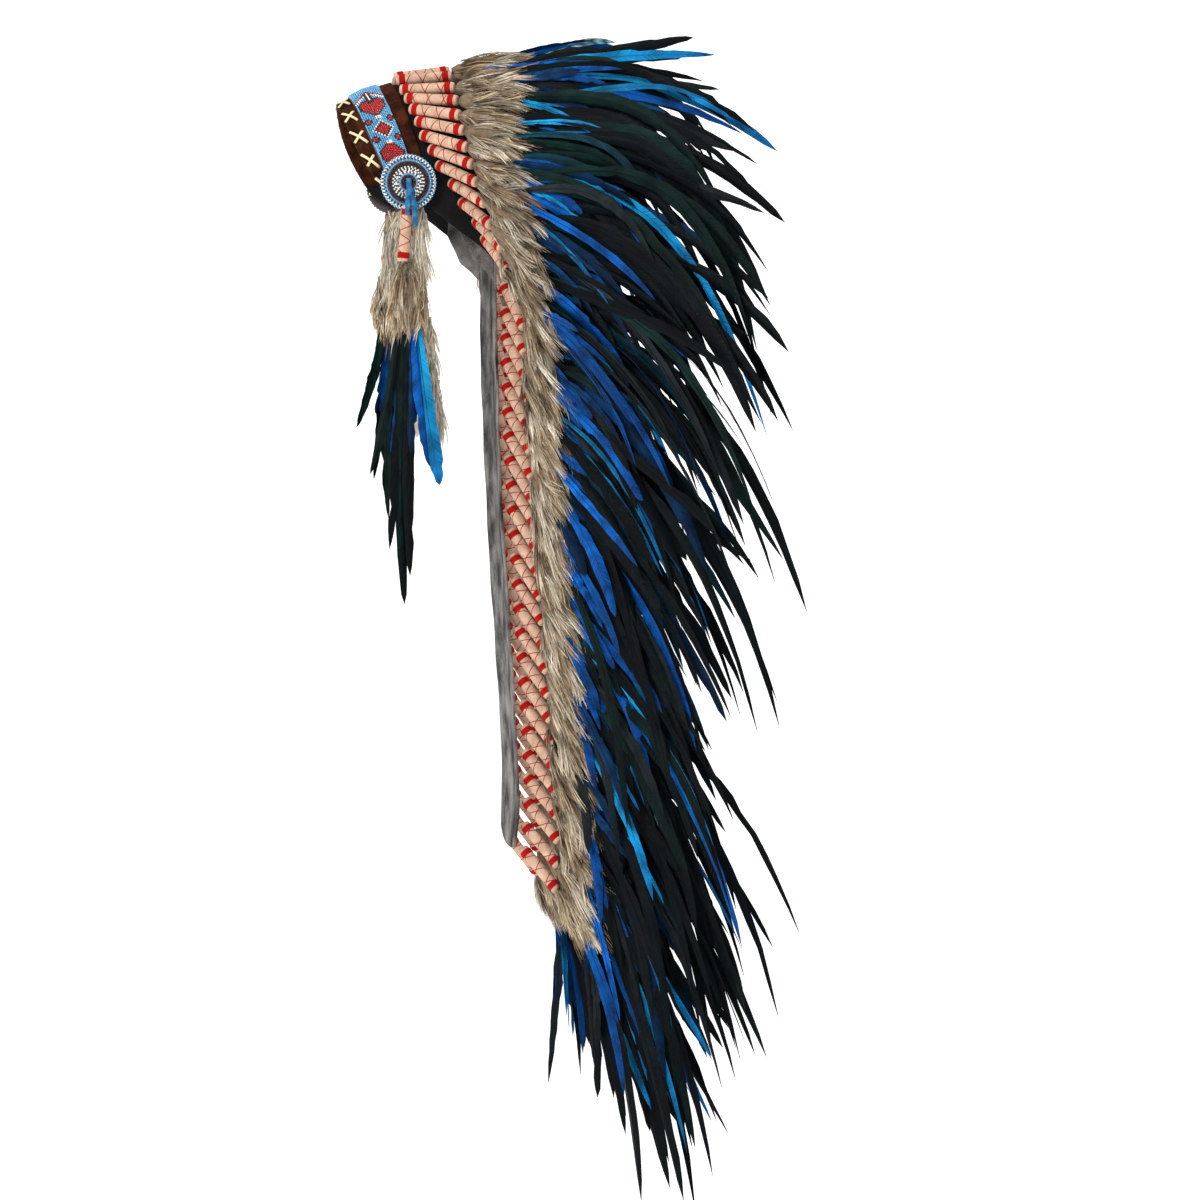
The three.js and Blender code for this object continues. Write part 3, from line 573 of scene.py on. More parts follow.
def rosetteBeads(side):
    # rings of beads over a low crown: a bead stands out by crown * (1 - (ring / radius)^2)
    f = rosetteForm
    centres, axes, normals, kinds = [], [], [], []
    for radius, names in f["rings"]:
        count = max(5, int(round(2 * math.pi * radius / f["spacing"])))
        count -= count % len(names) if count > 8 else 0
        angle = np.arange(count) * 2 * math.pi / count
        # the beads of the outermost ring stand out and in by turns
        scallop = np.where(np.arange(count) % 2 == 0, 0.55, -0.3) if radius > 26 else 0
        r = radius + scallop
        out = f["x"] + f["wall"] + f["crown"] * (1 - (radius / f["radius"]) ** 2) - 0.2
        centres.append(xyz(out, f["y"] + r * np.cos(angle), f["z"] + r * np.sin(angle)))
        # in some rings the beads lie like spokes
        spoke = 13 < radius < 16 or radius > 23
        axes.append(xyz(0, np.cos(angle), np.sin(angle)) if spoke else xyz(0, -np.sin(angle), np.cos(angle)))
        normals.append(np.tile([1.0, 0, 0], (count, 1)))
        turns = np.array([beadNames.index(name) for name in names])
        kinds.append(turns[np.arange(count) % len(names)])
    beads = beadCloud(*map(np.concatenate, (centres, axes, normals)), f["beadLength"], f["beadRadius"],
                      np.concatenate(kinds))
    angle = np.linspace(0, 2 * math.pi, 48, endpoint=False)
    radius, height = np.array(f["disc"]).T[..., None]
    disc = xyz(f["x"] + height, f["y"] + radius * np.cos(angle), f["z"] + radius * np.sin(angle))
    return mirror(side, *join([beads, tinted(*tubes(disc[None])[:2], srgb(f["leather"]))]))


for word, side in bothSides:
    addTinted(f"bead_rosette_{word}", rosetteBeads(side), beadGlass, "seed_beads", [f"rosette_{word}"])


# lace and thongs

def ribbon(path, normals, halfWidth, halfWall, sides=8):
    # a flat strap with rounded edges carried along a path: an ellipse flattened at the faces
    across, up = squareTo(unit(np.gradient(path, axis=0)), normals)
    angle = np.arange(sides) * 2 * math.pi / sides
    c, s = np.cos(angle), np.sin(angle)
    flat = [np.sign(w) * np.abs(w) ** 0.6 for w in (c, s)]
    ring = (across[:, None] * (flat[0] * np.reshape(halfWidth, (-1, 1)))[..., None]
            + up[:, None] * (flat[1] * np.reshape(halfWall, (-1, 1)))[..., None])
    return path[:, None] + ring


laceForm = {
    "width": 3.0, "wall": 1.1, "pitch": 27.5, "perSide": 5, "reach": 6.8, "inner": 0.38, "height": 3.6,
}


def laceStraps():
    # two straps for each cross, one arched over the other; their outer ends tuck round the edge
    turns, run = runRound(0, 89, 700)
    straps = []
    t = np.linspace(0, 1, 9)
    halfWidth, halfWall = laceForm["width"] / 2 * 0.9 + 0 * t, laceForm["wall"] / 2 + 0 * t
    for k in range(laceForm["perSide"]):
        for side in (-1, 1):
            middle = side * laceForm["pitch"] * (k + 0.5)
            for way in (-1, 1):
                s = middle + way * laceForm["reach"] * (2 * t - 1) * (1 + 0.08 * way)
                arch = laceForm["inner"] * t
                lift = laceForm["height"] + 0.3 + (0.9 if way > 0 else 0.1) * np.sin(math.pi * t)
                lift = lift - 1.4 * t ** 8
                turn = np.sign(s) * np.interp(np.abs(s), run, turns)
                straps.append(ribbon(offHead(arch, turn, lift), headNormal(arch, turn), halfWidth, halfWall))
    return straps


def joinTubes(parts):
    # several tubes, each a (stations, sides, 3) array
    shapes = [tubes(rings[None])[:2] for rings in parts]
    return join([(points, outward(points, blocks)) for points, blocks in shapes])


addPiece("whipped_lace", *joinTubes(laceStraps()), creamLace, "cream_lace", ["edge_lace"])


def spline(points, count):
    # a smooth line through the points: Catmull-Rom, each stretch a cubic of its four nearest points
    p = np.concatenate([points[:1] * 2 - points[1:2], points, points[-1:] * 2 - points[-2:-1]])
    s = np.linspace(0, len(points) - 1.0001, count)
    i = np.floor(s).astype(int)
    t = (s - i)[:, None]
    a, b, c, d = p[i], p[i + 1], p[i + 2], p[i + 3]
    return 0.5 * (2 * b + (c - a) * t + (2 * a - 5 * b + 4 * c - d) * t ** 2
                  + (3 * b - a - 3 * c + d) * t ** 3)


thongForm = {
    # places from the rosette's middle: y, z, out from its face, half width, half wall
    "long": [(0, 4, 1.4, 2.4, 1.0), (0.5, -4, 2.2, 2.8, 1.2), (1.5, -9, 4, 3, 2), (2.5, -14, 7, 3, 1.3),
             (4.5, -21, 12.6, 2.9, 0.9), (5, -32, 13.8, 3.0, 0.8), (6, -44, 14.2, 2.6, 0.7)],
    "short": [(1.5, -8, 4.4, 3, 1.6), (-1, -13, 8, 2.8, 1.1), (-2, -20, 13.4, 2.7, 0.9),
              (-2.5, -33, 14.4, 2.3, 0.7)],
    "curl": {"long": 0.5, "short": -0.6},
    # the knot: its middle in y, z and out, its three half sizes, the thong's half width and half wall
    "knot": (1.5, -9.5, 4.2), "knotHalf": (2.6, 3.4, 1.6), "knotStrap": (1.1, 2.0),
}


def thong(side):
    # two tails that curl as the square of the run, and a slanting loop for the knot
    face = rosetteForm["x"] + rosetteForm["wall"] + rosetteForm["crown"] + 0.35
    parts = []
    for key in ("long", "short"):
        row = spline(np.array(thongForm[key], float), 40)
        path = xyz(face + row[:, 2], rosetteForm["y"] + row[:, 0], rosetteForm["z"] + row[:, 1])
        curl = np.linspace(0, 1, 40)[:, None] ** 2 * thongForm["curl"][key]
        normals = unit(np.array([1.0, 0, 0]) + curl * np.array([0, 1.0, 0]))
        parts.append(ribbon(path, normals, row[:, 3], row[:, 4]))
    angle = np.linspace(0, 2 * math.pi, 33)
    (y, z, out), (halfX, halfY, halfZ) = thongForm["knot"], thongForm["knotHalf"]
    loop = xyz(face + out + halfX * np.cos(angle), rosetteForm["y"] + y + halfY * np.sin(angle),
               rosetteForm["z"] + z + halfZ * np.sin(angle + 0.8))
    halfWidth, halfWall = (np.full(33, size) for size in thongForm["knotStrap"])
    parts.append(ribbon(loop, np.array([[0, 0, 1.0]]) + 0 * loop, halfWidth, halfWall))
    return mirror(side, *joinTubes(parts))


for word, side in bothSides:
    addPiece(f"suede_thong_{word}", *thong(side), blueSuede, "blue_suede", [f"rosette_thong_{word}"])
print("rosettes, lace and thongs made")


# trailer strip: a long tongue of suede, bowed forward at its edges

stripForm = {
    "y": [68, 68.5, 70, 74, 81, 87, 88, 85], "z": [-180, -260, -340, -440, -560, -670, -720, -772],
    "halfWidth": 68, "wall": 3.0, "bow": 5, "corner": 16, "tuck": 1.6, "wander": 1.1, "wave": 0.6,
}
stripTop, stripEnd = stripForm["z"][0], stripForm["z"][-1]
stripLine = spline(np.array([stripForm["y"], stripForm["z"]], float).T, 400)


def stripFace(x, z):
    y = np.interp(-z, -stripLine[:, 1], stripLine[:, 0])
    share = (stripTop - z) / (stripTop - stripEnd)
    return xyz(x, y - stripForm["bow"] * (1 - 0.6 * share) * (x / stripForm["halfWidth"]) ** 2, z)


def stripSheet():
    # shallow waves run across the sheet, its long edges wander a little and its top is tucked under the cap
    across, down = np.meshgrid(np.linspace(-1, 1, 41), np.linspace(0, 1, 161), indexing="xy")
    end = stripEnd + stripForm["corner"] * np.abs(across) ** 3
    z = mix(stripTop + stripForm["tuck"], end, down)
    wander = stripForm["wander"] * np.sin(z / 31 + np.sign(across) * 1.3) * np.abs(across) ** 6
    outer = stripFace(across * stripForm["halfWidth"] - np.abs(wander) * np.sign(across), z)
    wave = 0.9 * np.sin(z / 23 + across * 2) * np.sin(z / 61)
    wave = wave + 0.5 * np.sin(z / 11 + across * 5) * across ** 2
    outer[..., 1] += wave * stripForm["wave"]
    return shell(outer, outer - [0, stripForm["wall"] - stripForm["wave"], 0])


trailer = addPiece("trailer_sheet", *stripSheet(), greySuede, "grey_suede", ["trailer_strip"], closed=True)


# feather units: one at the middle of the crown, then 13 on each side of the cap and 24 down each edge.
# The tables below give places and directions at some of them, with straight lines between.

unitForm = {
    "cap": 13, "strip": 24, "firstZ": -207, "pitch": 24.7, "rowX": 63, "swell": 6.3, "gap": 0.35, "ahead": 7,
    "wrap": 57, "bend": 130,
    "placeUnit": [0, 2, 4, 6, 8, 10, 12, 13],
    "arch": [2.3, 2.27, 2.34, 2.46, 2.97, 4.14, 6.5, 8.75],
    "turn": [0, 26.5, 42.5, 57.5, 71, 81.5, 87.5, 84],
    "aimUnit": [0, 2, 4, 6, 8, 10, 12, 14, 20, 24, 31, 35, 37, 39],
    "drop": [-7, -2, 9, 18, 28, 44, 60, 68, 62, 59, 55, 52, 51, 74],
    "splay": [0, 22, 34, 38, 45, 52, 46, 32, 25, 25, 25, 25, 25, 20],
    "plumeDrop": [-6, 3, 14, 22, 28, 34, 40, 46, 52, 55, 58, 61, 68, 82],
    "plumeSplay": [0, 17, 24, 27, 28, 28, 26, 24, 23, 23, 23, 22, 20, 15],
    "reach": [360, 395, 400, 410, 415, 415, 405, 395, 385, 392, 375, 380, 380, 375],
}


def along(key, n, at="aimUnit"):
    return np.interp(np.abs(n), unitForm[at], unitForm[key])


def aimOf(drop, splay):
    level = np.cos(splay * degrees)
    return xyz(np.sin(splay * degrees), level * np.cos(drop * degrees), -level * np.sin(drop * degrees))


def quillAim(n):
    return aimOf(along("drop", n), np.sign(n) * along("splay", n))


def plumeAim(n):
    return aimOf(along("plumeDrop", n), np.sign(n) * along("plumeSplay", n))


def quillEnd(n):
    # sewn to the cap or the strip, a little ahead of that place at the same height
    n = np.asarray(n, float)
    place, side = np.abs(n), np.where(n < 0, -1.0, 1.0)
    height = unitForm["swell"] + 2 * unitForm["gap"]
    onCap = np.minimum(place, unitForm["cap"])
    arch, turn = along("arch", onCap, "placeUnit"), along("turn", onCap, "placeUnit")
    capPlace, capWay = offHead(arch, turn, height), headNormal(arch, turn)
    first = unitForm["cap"] + 1
    z = unitForm["firstZ"] - np.clip(place - first, 0, unitForm["strip"] - 1) * unitForm["pitch"]
    stripPlace = stripFace(unitForm["rowX"], z) + [0, height, 0]
    share = np.clip(place - unitForm["cap"], 0, 1)[..., None]
    point = mix(capPlace, stripPlace, share)
    way = unit(mix(capWay, np.array([0, 1.0, 0]), share))
    aim = quillAim(place)
    flat = unit(aim - way * dot(aim, way))
    return (point - flat * unitForm["ahead"]) * xyz(side, 1, 1)


def rowWay(n):
    n = np.asarray(n, float)
    # from each unit towards the next; at the end of each edge, straight down or up it
    way = unit(quillEnd(n + 0.5) - quillEnd(n - 0.5))
    lastOne = np.abs(n) > unitForm["cap"] + unitForm["strip"] - 0.5
    return np.where(lastOne[..., None], xyz(0, 0, -np.sign(n)), way)


def quillUp(n):
    return unit(np.cross(rowWay(n), quillAim(n)))


def rowFrame(n, aim):
    # along the row and up from it, both square to the aim
    row = rowWay(n)
    row = unit(row - aim * dot(row, aim))
    return row, unit(np.cross(row, aim))


def unitPoint(n, run):
    # straight along the quill to the wrap's end, then turning evenly to the plume's direction
    past = np.maximum(0, run - unitForm["wrap"])
    bent = np.minimum(past, unitForm["bend"])
    turned = bent ** 2 / (2 * unitForm["bend"]) + past - bent
    aim = quillAim(n)
    return quillEnd(n) + aim * run[..., None] + (plumeAim(n) - aim) * turned[..., None]


# wraps: felt tubes with a wound band near each end

wrapForm = {
    # share of the length and radius there: rounded ends, a slight hollow in the middle and ridges where
    # bands are wound
    "share": [0, 0.012, 0.05, 0.06, 0.075, 0.155, 0.17, 0.18, 0.35, 0.5, 0.65, 0.82, 0.83, 0.845, 0.925, 0.94,
              0.95, 0.988, 1],
    "radius": [4.4, 5.1, 5.35, 5.5, 5.95, 5.95, 5.5, 5.4, 5.45, 5.4, 5.45, 5.4, 5.5, 5.95, 5.95, 5.5, 5.35,
               5.1, 4.4],
    "sides": 16,
}


def wrapTubes(starts, ends, ups):
    # each wrap is the profile above carried along its axis, every ring slightly out of round
    count, sides = len(starts), wrapForm["sides"]
    across, up = squareTo(unit(ends - starts), ups)
    share = np.array(wrapForm["share"])
    radius = np.array(wrapForm["radius"])[None] * (1 + 0.02 * rng.normal(size=(count, 1)))
    spin = rng.random((count, 1)) * 2 * math.pi
    angle = np.arange(sides + 1) * 2 * math.pi / sides + spin
    ring = around(across[:, None], up[:, None], angle)
    lump = 1 + 0.02 * np.sin(angle * 2 + 1)[:, None, :, None]
    axis = starts[:, None] + (ends - starts)[:, None] * share[None, :, None]
    rings = axis[:, :, None] + ring[:, None] * radius[:, :, None, None] * lump
    # the seam column is kept twice so that the pattern's u can run from 0 to 1
    stations, columns = len(share), sides + 1
    points = np.concatenate([rings.reshape(count, -1, 3), np.stack([starts, ends], 1)], 1)
    u, v = np.tile(np.linspace(0, 1, columns), stations), np.repeat(share, columns)
    uv = np.concatenate([np.stack([u, v], -1), [[0.5, 0.0], [0.5, 1.0]]])
    n = stations * columns
    k, each = np.arange(sides), n + 2
    fans = np.concatenate([xyz(n, k + 1, k), xyz(n + 1, n - columns + k, n - columns + k + 1)]).astype(int)
    faces = [copies(gridFaces(stations, columns), count, each), copies(fans, count, each)]
    return points.reshape(-1, 3), faces, np.tile(uv, (count, 1))


def addWraps(name, units, replaces):
    units = np.array(units, float)
    starts = quillEnd(units)
    ends = starts + quillAim(units) * (unitForm["wrap"] - 0.6)
    points, blocks, uv = wrapTubes(starts, ends, quillUp(units))
    addPiece(name, points, outward(points, blocks), wrapFelt, "wrap_felt", replaces, uv=uv)


addWraps("quill_wrap_middle", [0], ["crown_wrap_middle"])
for word, side in bothSides:
    for k in range(1, 9):
        addWraps(f"quill_wrap_{word}_{k}", [side * k], [f"crown_wrap_{word}_{k}"])
    addWraps(f"nape_row_{word}", side * np.arange(9, 14), [f"nape_wraps_{word}"])
    for k in range(3):
        addWraps(f"trailer_row_{word}_{k + 1}", side * np.arange(14 + 8 * k, 22 + 8 * k),
                 [f"trailer_wraps_{word}_{k + 1}"])
print("strip and wraps made")


# fur: locks of tapered hairs over a soft body

furTints = np.array([srgb("75593f"), srgb("cdb796"), srgb("fdf3e2")])


def hairs(roots, ways, lengths, sag, widths, faceWay, root, tip):
    # each hair is a strip of three quads along root + way * t + sag * t squared, narrowing to its tip
    t = np.array([0, 0.35, 0.7, 1.0])
    path = (roots[:, None] + (ways * lengths[:, None])[:, None] * t[None, :, None]
            + sag[:, None] * (t ** 2)[None, :, None])
    across = unit(np.cross(unit(np.gradient(path, axis=1)), faceWay[:, None]))
    half = widths[:, None] / 2 * np.array([0.8, 1.0, 0.7, 0.12])
    points = np.stack([path - across * half[..., None], path + across * half[..., None]], 2)
    faces = copies(gridFaces(4, 2), len(roots), 8)
    tints = mix(root[:, None], tip[:, None], (t ** 1.2)[None, :, None])
    tints = np.repeat(tints[:, :, None], 2, 2)
    return points.reshape(-1, 3), [faces], tints.reshape(-1, 3)


def lockTints(count, each):
    # a lock is dark, tan or pale, and so is each of its hairs; every hair is darker at its root
    tone = np.repeat(rng.random(count), each) * 0.7 + rng.random(count * each) * 0.6 - 0.15
    tone = np.clip(tone, 0, 1)[:, None]
    dark, tan, pale = furTints
    tip = np.where(tone < 0.5, mix(dark, tan, tone * 2), mix(tan, pale, tone * 2 - 1))
    shade = rng.uniform(0.85, 1.15, (count * each, 1))
    return tip * shade * 0.42, tip * shade * 1.2


furForm = {
    "locks": 46, "hairs": 18, "start": 60, "stretch": 44, "radius": (2.5, 10.5), "length": (26, 46),
    "width": (0.6, 1.25), "lean": 0.13, "stand": (0.75, 0.3), "spread": (0.5, 1.1), "sag": (0.26, 0.1, 3.5),
    # the tufts over the crown are the roundest
    "puffUnit": [0, 3, 7], "puff": [1.45, 1.3, 1],
    # the spindle under the hairs
    "bodyRun": [59, 66, 80, 96, 112, 124], "bodyHalf": [4.2, 8.5, 10.5, 9.5, 6.5, 1.5],
}
furBodyTint = srgb("8a7660") * 0.8


def furAim(n):
    return unit(mix(quillAim(n), plumeAim(n), 0.35))


def unitFur(units):
    # hairs start round the quill past its wrap, stand out and lie back along it
    f = furForm
    each = f["hairs"]
    lockUnit = np.repeat(np.asarray(units, float), f["locks"])
    count = len(lockUnit)
    share = rng.random(count) ** 0.85
    turn = rng.random(count) * 2 * math.pi
    n = np.repeat(lockUnit, each)
    size = count * each
    run = np.repeat(f["start"] + share * f["stretch"], each) + rng.uniform(-3, 3, size)
    angle = np.repeat(turn, each) + rng.normal(0, 0.16, size)
    puff = np.interp(np.abs(n), f["puffUnit"], f["puff"])
    radius = np.repeat(rng.uniform(*f["radius"], count), each) * puff + rng.normal(0, 0.9, size)
    aim = furAim(n)
    row, up = rowFrame(n, aim)
    out = around(row, up * 0.8, angle)
    roots = unitPoint(n, run) + out * radius[:, None]
    lockLean = np.repeat(rng.normal(0, f["lean"], (count, 3)), each, 0)
    stand = np.repeat(mix(*f["stand"], share) * rng.uniform(*f["spread"], count), each)
    stand = stand + rng.normal(0, 0.04, size)
    ways = unit(aim + out * stand[:, None] + lockLean + rng.normal(0, 0.035, (size, 3)))
    lengths = np.repeat(rng.uniform(*f["length"], count), each) * rng.uniform(0.75, 1.1, size)
    # the tips bend back to the quill, hang a little and stray lock by lock
    back, hang, wander = f["sag"]
    sag = -out * (lengths * back)[:, None] - np.array([0, 0, 1.0]) * (lengths * hang)[:, None]
    sag = sag + np.repeat(rng.normal(0, wander, (count, 3)), each, 0)
    rootTint, tipTint = lockTints(count, each)
    # between two units the fur lies in its own shade
    hollow = (1 - 0.6 * np.cos(angle) ** 6)[:, None]
    rootTint, tipTint = rootTint * hollow, tipTint * hollow
    facing = unit(out + rng.normal(0, 0.5, (size, 3)))
    return hairs(roots, ways, lengths, sag, rng.uniform(*f["width"], size), facing, rootTint, tipTint)


def unitFurBody(units):
    # under the hairs, a flattened spindle with three lobes round each quill
    run, half = np.array(furForm["bodyRun"], float), np.array(furForm["bodyHalf"])
    n = np.repeat(np.asarray(units, float), len(run)).reshape(-1, len(run))
    centre = unitPoint(n, np.tile(run, (len(units), 1)))
    row, up = rowFrame(n, furAim(n))
    angle = np.arange(12) * math.pi / 6
    ring = around(row[:, :, None], up[:, :, None] * 0.75, angle)
    lobe = 1 + 0.12 * np.cos(angle * 3)[None, None, :, None]
    spindles = tubes(centre[:, :, None] + ring * half[None, :, None, None] * lobe)
    return tinted(*spindles[:2], furBodyTint)


rows = [("crown", "middle", np.arange(-2, 3))]
for word, side in bothSides:
    rows += [("crown", word, side * np.arange(3, 14)), ("trailer", word, side * np.arange(14, 38))]
for part, word, units in rows:
    # the last tuft of each edge is the fullest
    full = np.repeat(units, np.where(np.abs(units) > 36, 3, 1))
    tufts = join([unitFur(full), unitFurBody(units)])
    addTinted(f"{part}_fur_{word}", tufts, furHair, "fur", [f"{part}_tufts_{word}"])
print("fur made")


# feathers: a vane of two halves along a bending shaft

featherTints = {
    # colour near the root and towards the tip
    # green, grey and teal are black feathers with painted sheen in their colour, and cyan is partly the
    # feathers' own colour and partly painted glints
    "blue": ("0656a8", "04346c"), "deep": ("04325e", "03172a"), "cyan": ("148cc0", "0a5c94"),
    "black": ("040c11", "02070a"), "green": ("082421", "04100f"), "grey": ("1e2529", "0c1114"),
    "teal": ("083a48", "051a22"), "barred": ("a8d0cc", "6aa0b0"),
}
featherNames = list(featherTints)
featherInner = np.array([srgb(featherTints[n][0]) for n in featherNames])
featherOuter = np.array([srgb(featherTints[n][1]) for n in featherNames])
vaneForm = {
    "stations": 19, "across": [-1, -0.55, 0, 0.55, 1], "barb": 1.15, "cup": 0.16, "ragged": 0.09,
    "split": 0.04, "tipPower": (2.2, 4.6), "tipRound": (0.5, 0.85), "streak": 0.25, "shade": 0.3,
    "quillSides": 3, "quillStations": 8, "quill": "0c0a0a",
}


def feathers(roots, ways, faces, lengths, widths, kinds, droop, sway, hook=2.5):
    # shaft at t: root + way * length * t + droop * t^hook downwards + sway * t^2 sideways.
    # Half the width at t: width / 2 * 1.12 * (t + 0.03)^0.4 * (1 - t^tipPower)^tipRound, each edge ragged and
    # the barbs swept to the tip
    f = vaneForm
    count, rows = len(roots), f["stations"]
    t = np.linspace(0.02, 1, rows) ** 0.92
    side, down = unit(np.cross(ways, faces)), np.array([0, 0, -1.0])
    hookPower = np.broadcast_to(hook, count)[:, None, None]

    def shaft(t):
        t = np.maximum(t, 0)[None, :, None]
        return (roots[:, None] + ways[:, None] * (lengths[:, None, None] * t)
                + down * droop[:, None, None] * t ** hookPower
                + side[:, None] * sway[:, None, None] * t ** 2)

    def frameAt(t):
        tangent = unit(shaft(t + 0.01) - shaft(t - 0.01))
        return tangent, *squareTo(tangent, faces[:, None])

    tangent, across, normal = frameAt(t)
    tipPower, tipRound = rng.uniform(*f["tipPower"], (count, 1)), rng.uniform(*f["tipRound"], (count, 1))
    half = widths[:, None] / 2 * 1.12 * (t + 0.03) ** 0.4 * (1 - t ** tipPower) ** tipRound
    ragged = 1 + f["ragged"] * rng.normal(size=(count, rows, 2))
    ragged = np.where(rng.random((count, rows, 2)) < f["split"], 0.5, ragged)
    v = np.array(f["across"])
    edge = np.abs(v) > 0.9
    spread = half[..., None] * np.where(edge, ragged[..., [0, 0, 0, 1, 1]], 1.0)
    u = v * spread
    swept = np.abs(u) * f["barb"]
    cup = f["cup"] * (1 + 0.5 * rng.normal(size=(count, 1, 1)))
    points = (shaft(t)[:, :, None] + across[:, :, None] * u[..., None]
              + tangent[:, :, None] * swept[..., None]
              - normal[:, :, None] * (cup * np.abs(u) ** 1.5 / 2)[..., None])
    faceBlock = copies(gridFaces(rows, len(v)), count, rows * len(v))
    run = lengths[:, None] * t
    # the map's u is the distance from the shaft in mm and its v the place along it where the barb began
    offset = rng.random(count)[:, None, None] * 900
    uv = np.stack([u + 0 * run[..., None], run[..., None] + 0 * u + offset], -1)
    inner, outer = featherInner[kinds], featherOuter[kinds]
    toTip = t[None, :, None, None] ** 1.4
    # each feather has its own shade, each stretch of it a streak
    streak = np.clip(1 + f["streak"] * rng.normal(size=(count, rows, 1, 1)), 0.5, 1.7)
    streak = streak * (1 + f["shade"] * rng.normal(size=(count, 1, 1, 1)).clip(-1, 1))
    tint = mix(inner[:, None, None], outer[:, None, None], toTip) * streak
    bars = (np.arange(rows) % 2 == 0)[None, :, None, None]
    barred = (kinds == featherNames.index("barred"))[:, None, None, None]
    tint = np.where(barred & bars, tint * 0.15, tint) * np.ones((1, 1, len(v), 1))
    # the shaft itself, thinning to nothing
    s = np.linspace(0, 0.98, f["quillStations"])
    _, lineAcross, lineUp = frameAt(s)
    angle = np.arange(f["quillSides"]) * 2 * math.pi / f["quillSides"] + math.pi / 2
    thick = (0.7 * (1 - s) + 0.12)[None, :, None, None]
    ring = around(lineAcross[:, :, None], lineUp[:, :, None], angle)
    quillPoints, quillBlocks, each = tubes(shaft(s)[:, :, None] + ring * thick)
    quillTint = np.repeat(mix(inner, srgb(f["quill"]), 0.75), each, 0)
    return join([(points.reshape(-1, 3), [faceBlock], tint.reshape(-1, 3), uv.reshape(-1, 2)),
                 (quillPoints, quillBlocks, quillTint, np.zeros((len(quillPoints), 2)))])


plumeForm = {
    # feathers of one unit; the kinds with their weights; width and free length as a share of the reach
    "blueCount": 4, "darkCount": 13, "start": 94, "fan": (6, 15), "strays": 0.25,
    "blueKinds": {"blue": 0.54, "deep": 0.3, "cyan": 0.16},
    "darkKinds": {"black": 0.55, "green": 0.16, "grey": 0.1, "deep": 0.05, "teal": 0.05, "cyan": 0.08,
                  "blue": 0.01},
    # the far side has more cyan and teal feathers: painted glints where light comes through from behind
    "farKinds": {"black": 0.4, "green": 0.12, "grey": 0.05, "deep": 0.06, "teal": 0.1, "cyan": 0.23,
                 "blue": 0.04},
    "blueWidth": (9, 16), "darkWidth": (9.5, 17.5), "blueShare": (0.22, 0.62), "darkShare": (0.32, 0.97),
    "barred": 0.01,
    # the plumes at the middle of the crown are thinner, and the blue ones fewer along the trailer
    "keptUnit": [0, 3, 5], "kept": [0.55, 0.7, 1], "fewerPast": 15, "fewer": 0.3,
    # no tip passes far outside these distances from the origin: sideways, forward or back, down
    "edges": (318, 362), "depth": 1084,
    # over the crown the faces turn outwards; down the trailer feathers hang a little steeper than their unit
    "crestUnit": [0, 4], "steepUnit": [16, 24, 34], "steep": [0, 0.12, 0.16],
}


def drawKinds(table, size):
    names, weights = list(table), np.array(list(table.values()))
    index = np.searchsorted(np.cumsum(weights / weights.sum()), rng.random(size)).clip(0, len(names) - 1)
    return np.array([featherNames.index(n) for n in names])[index]


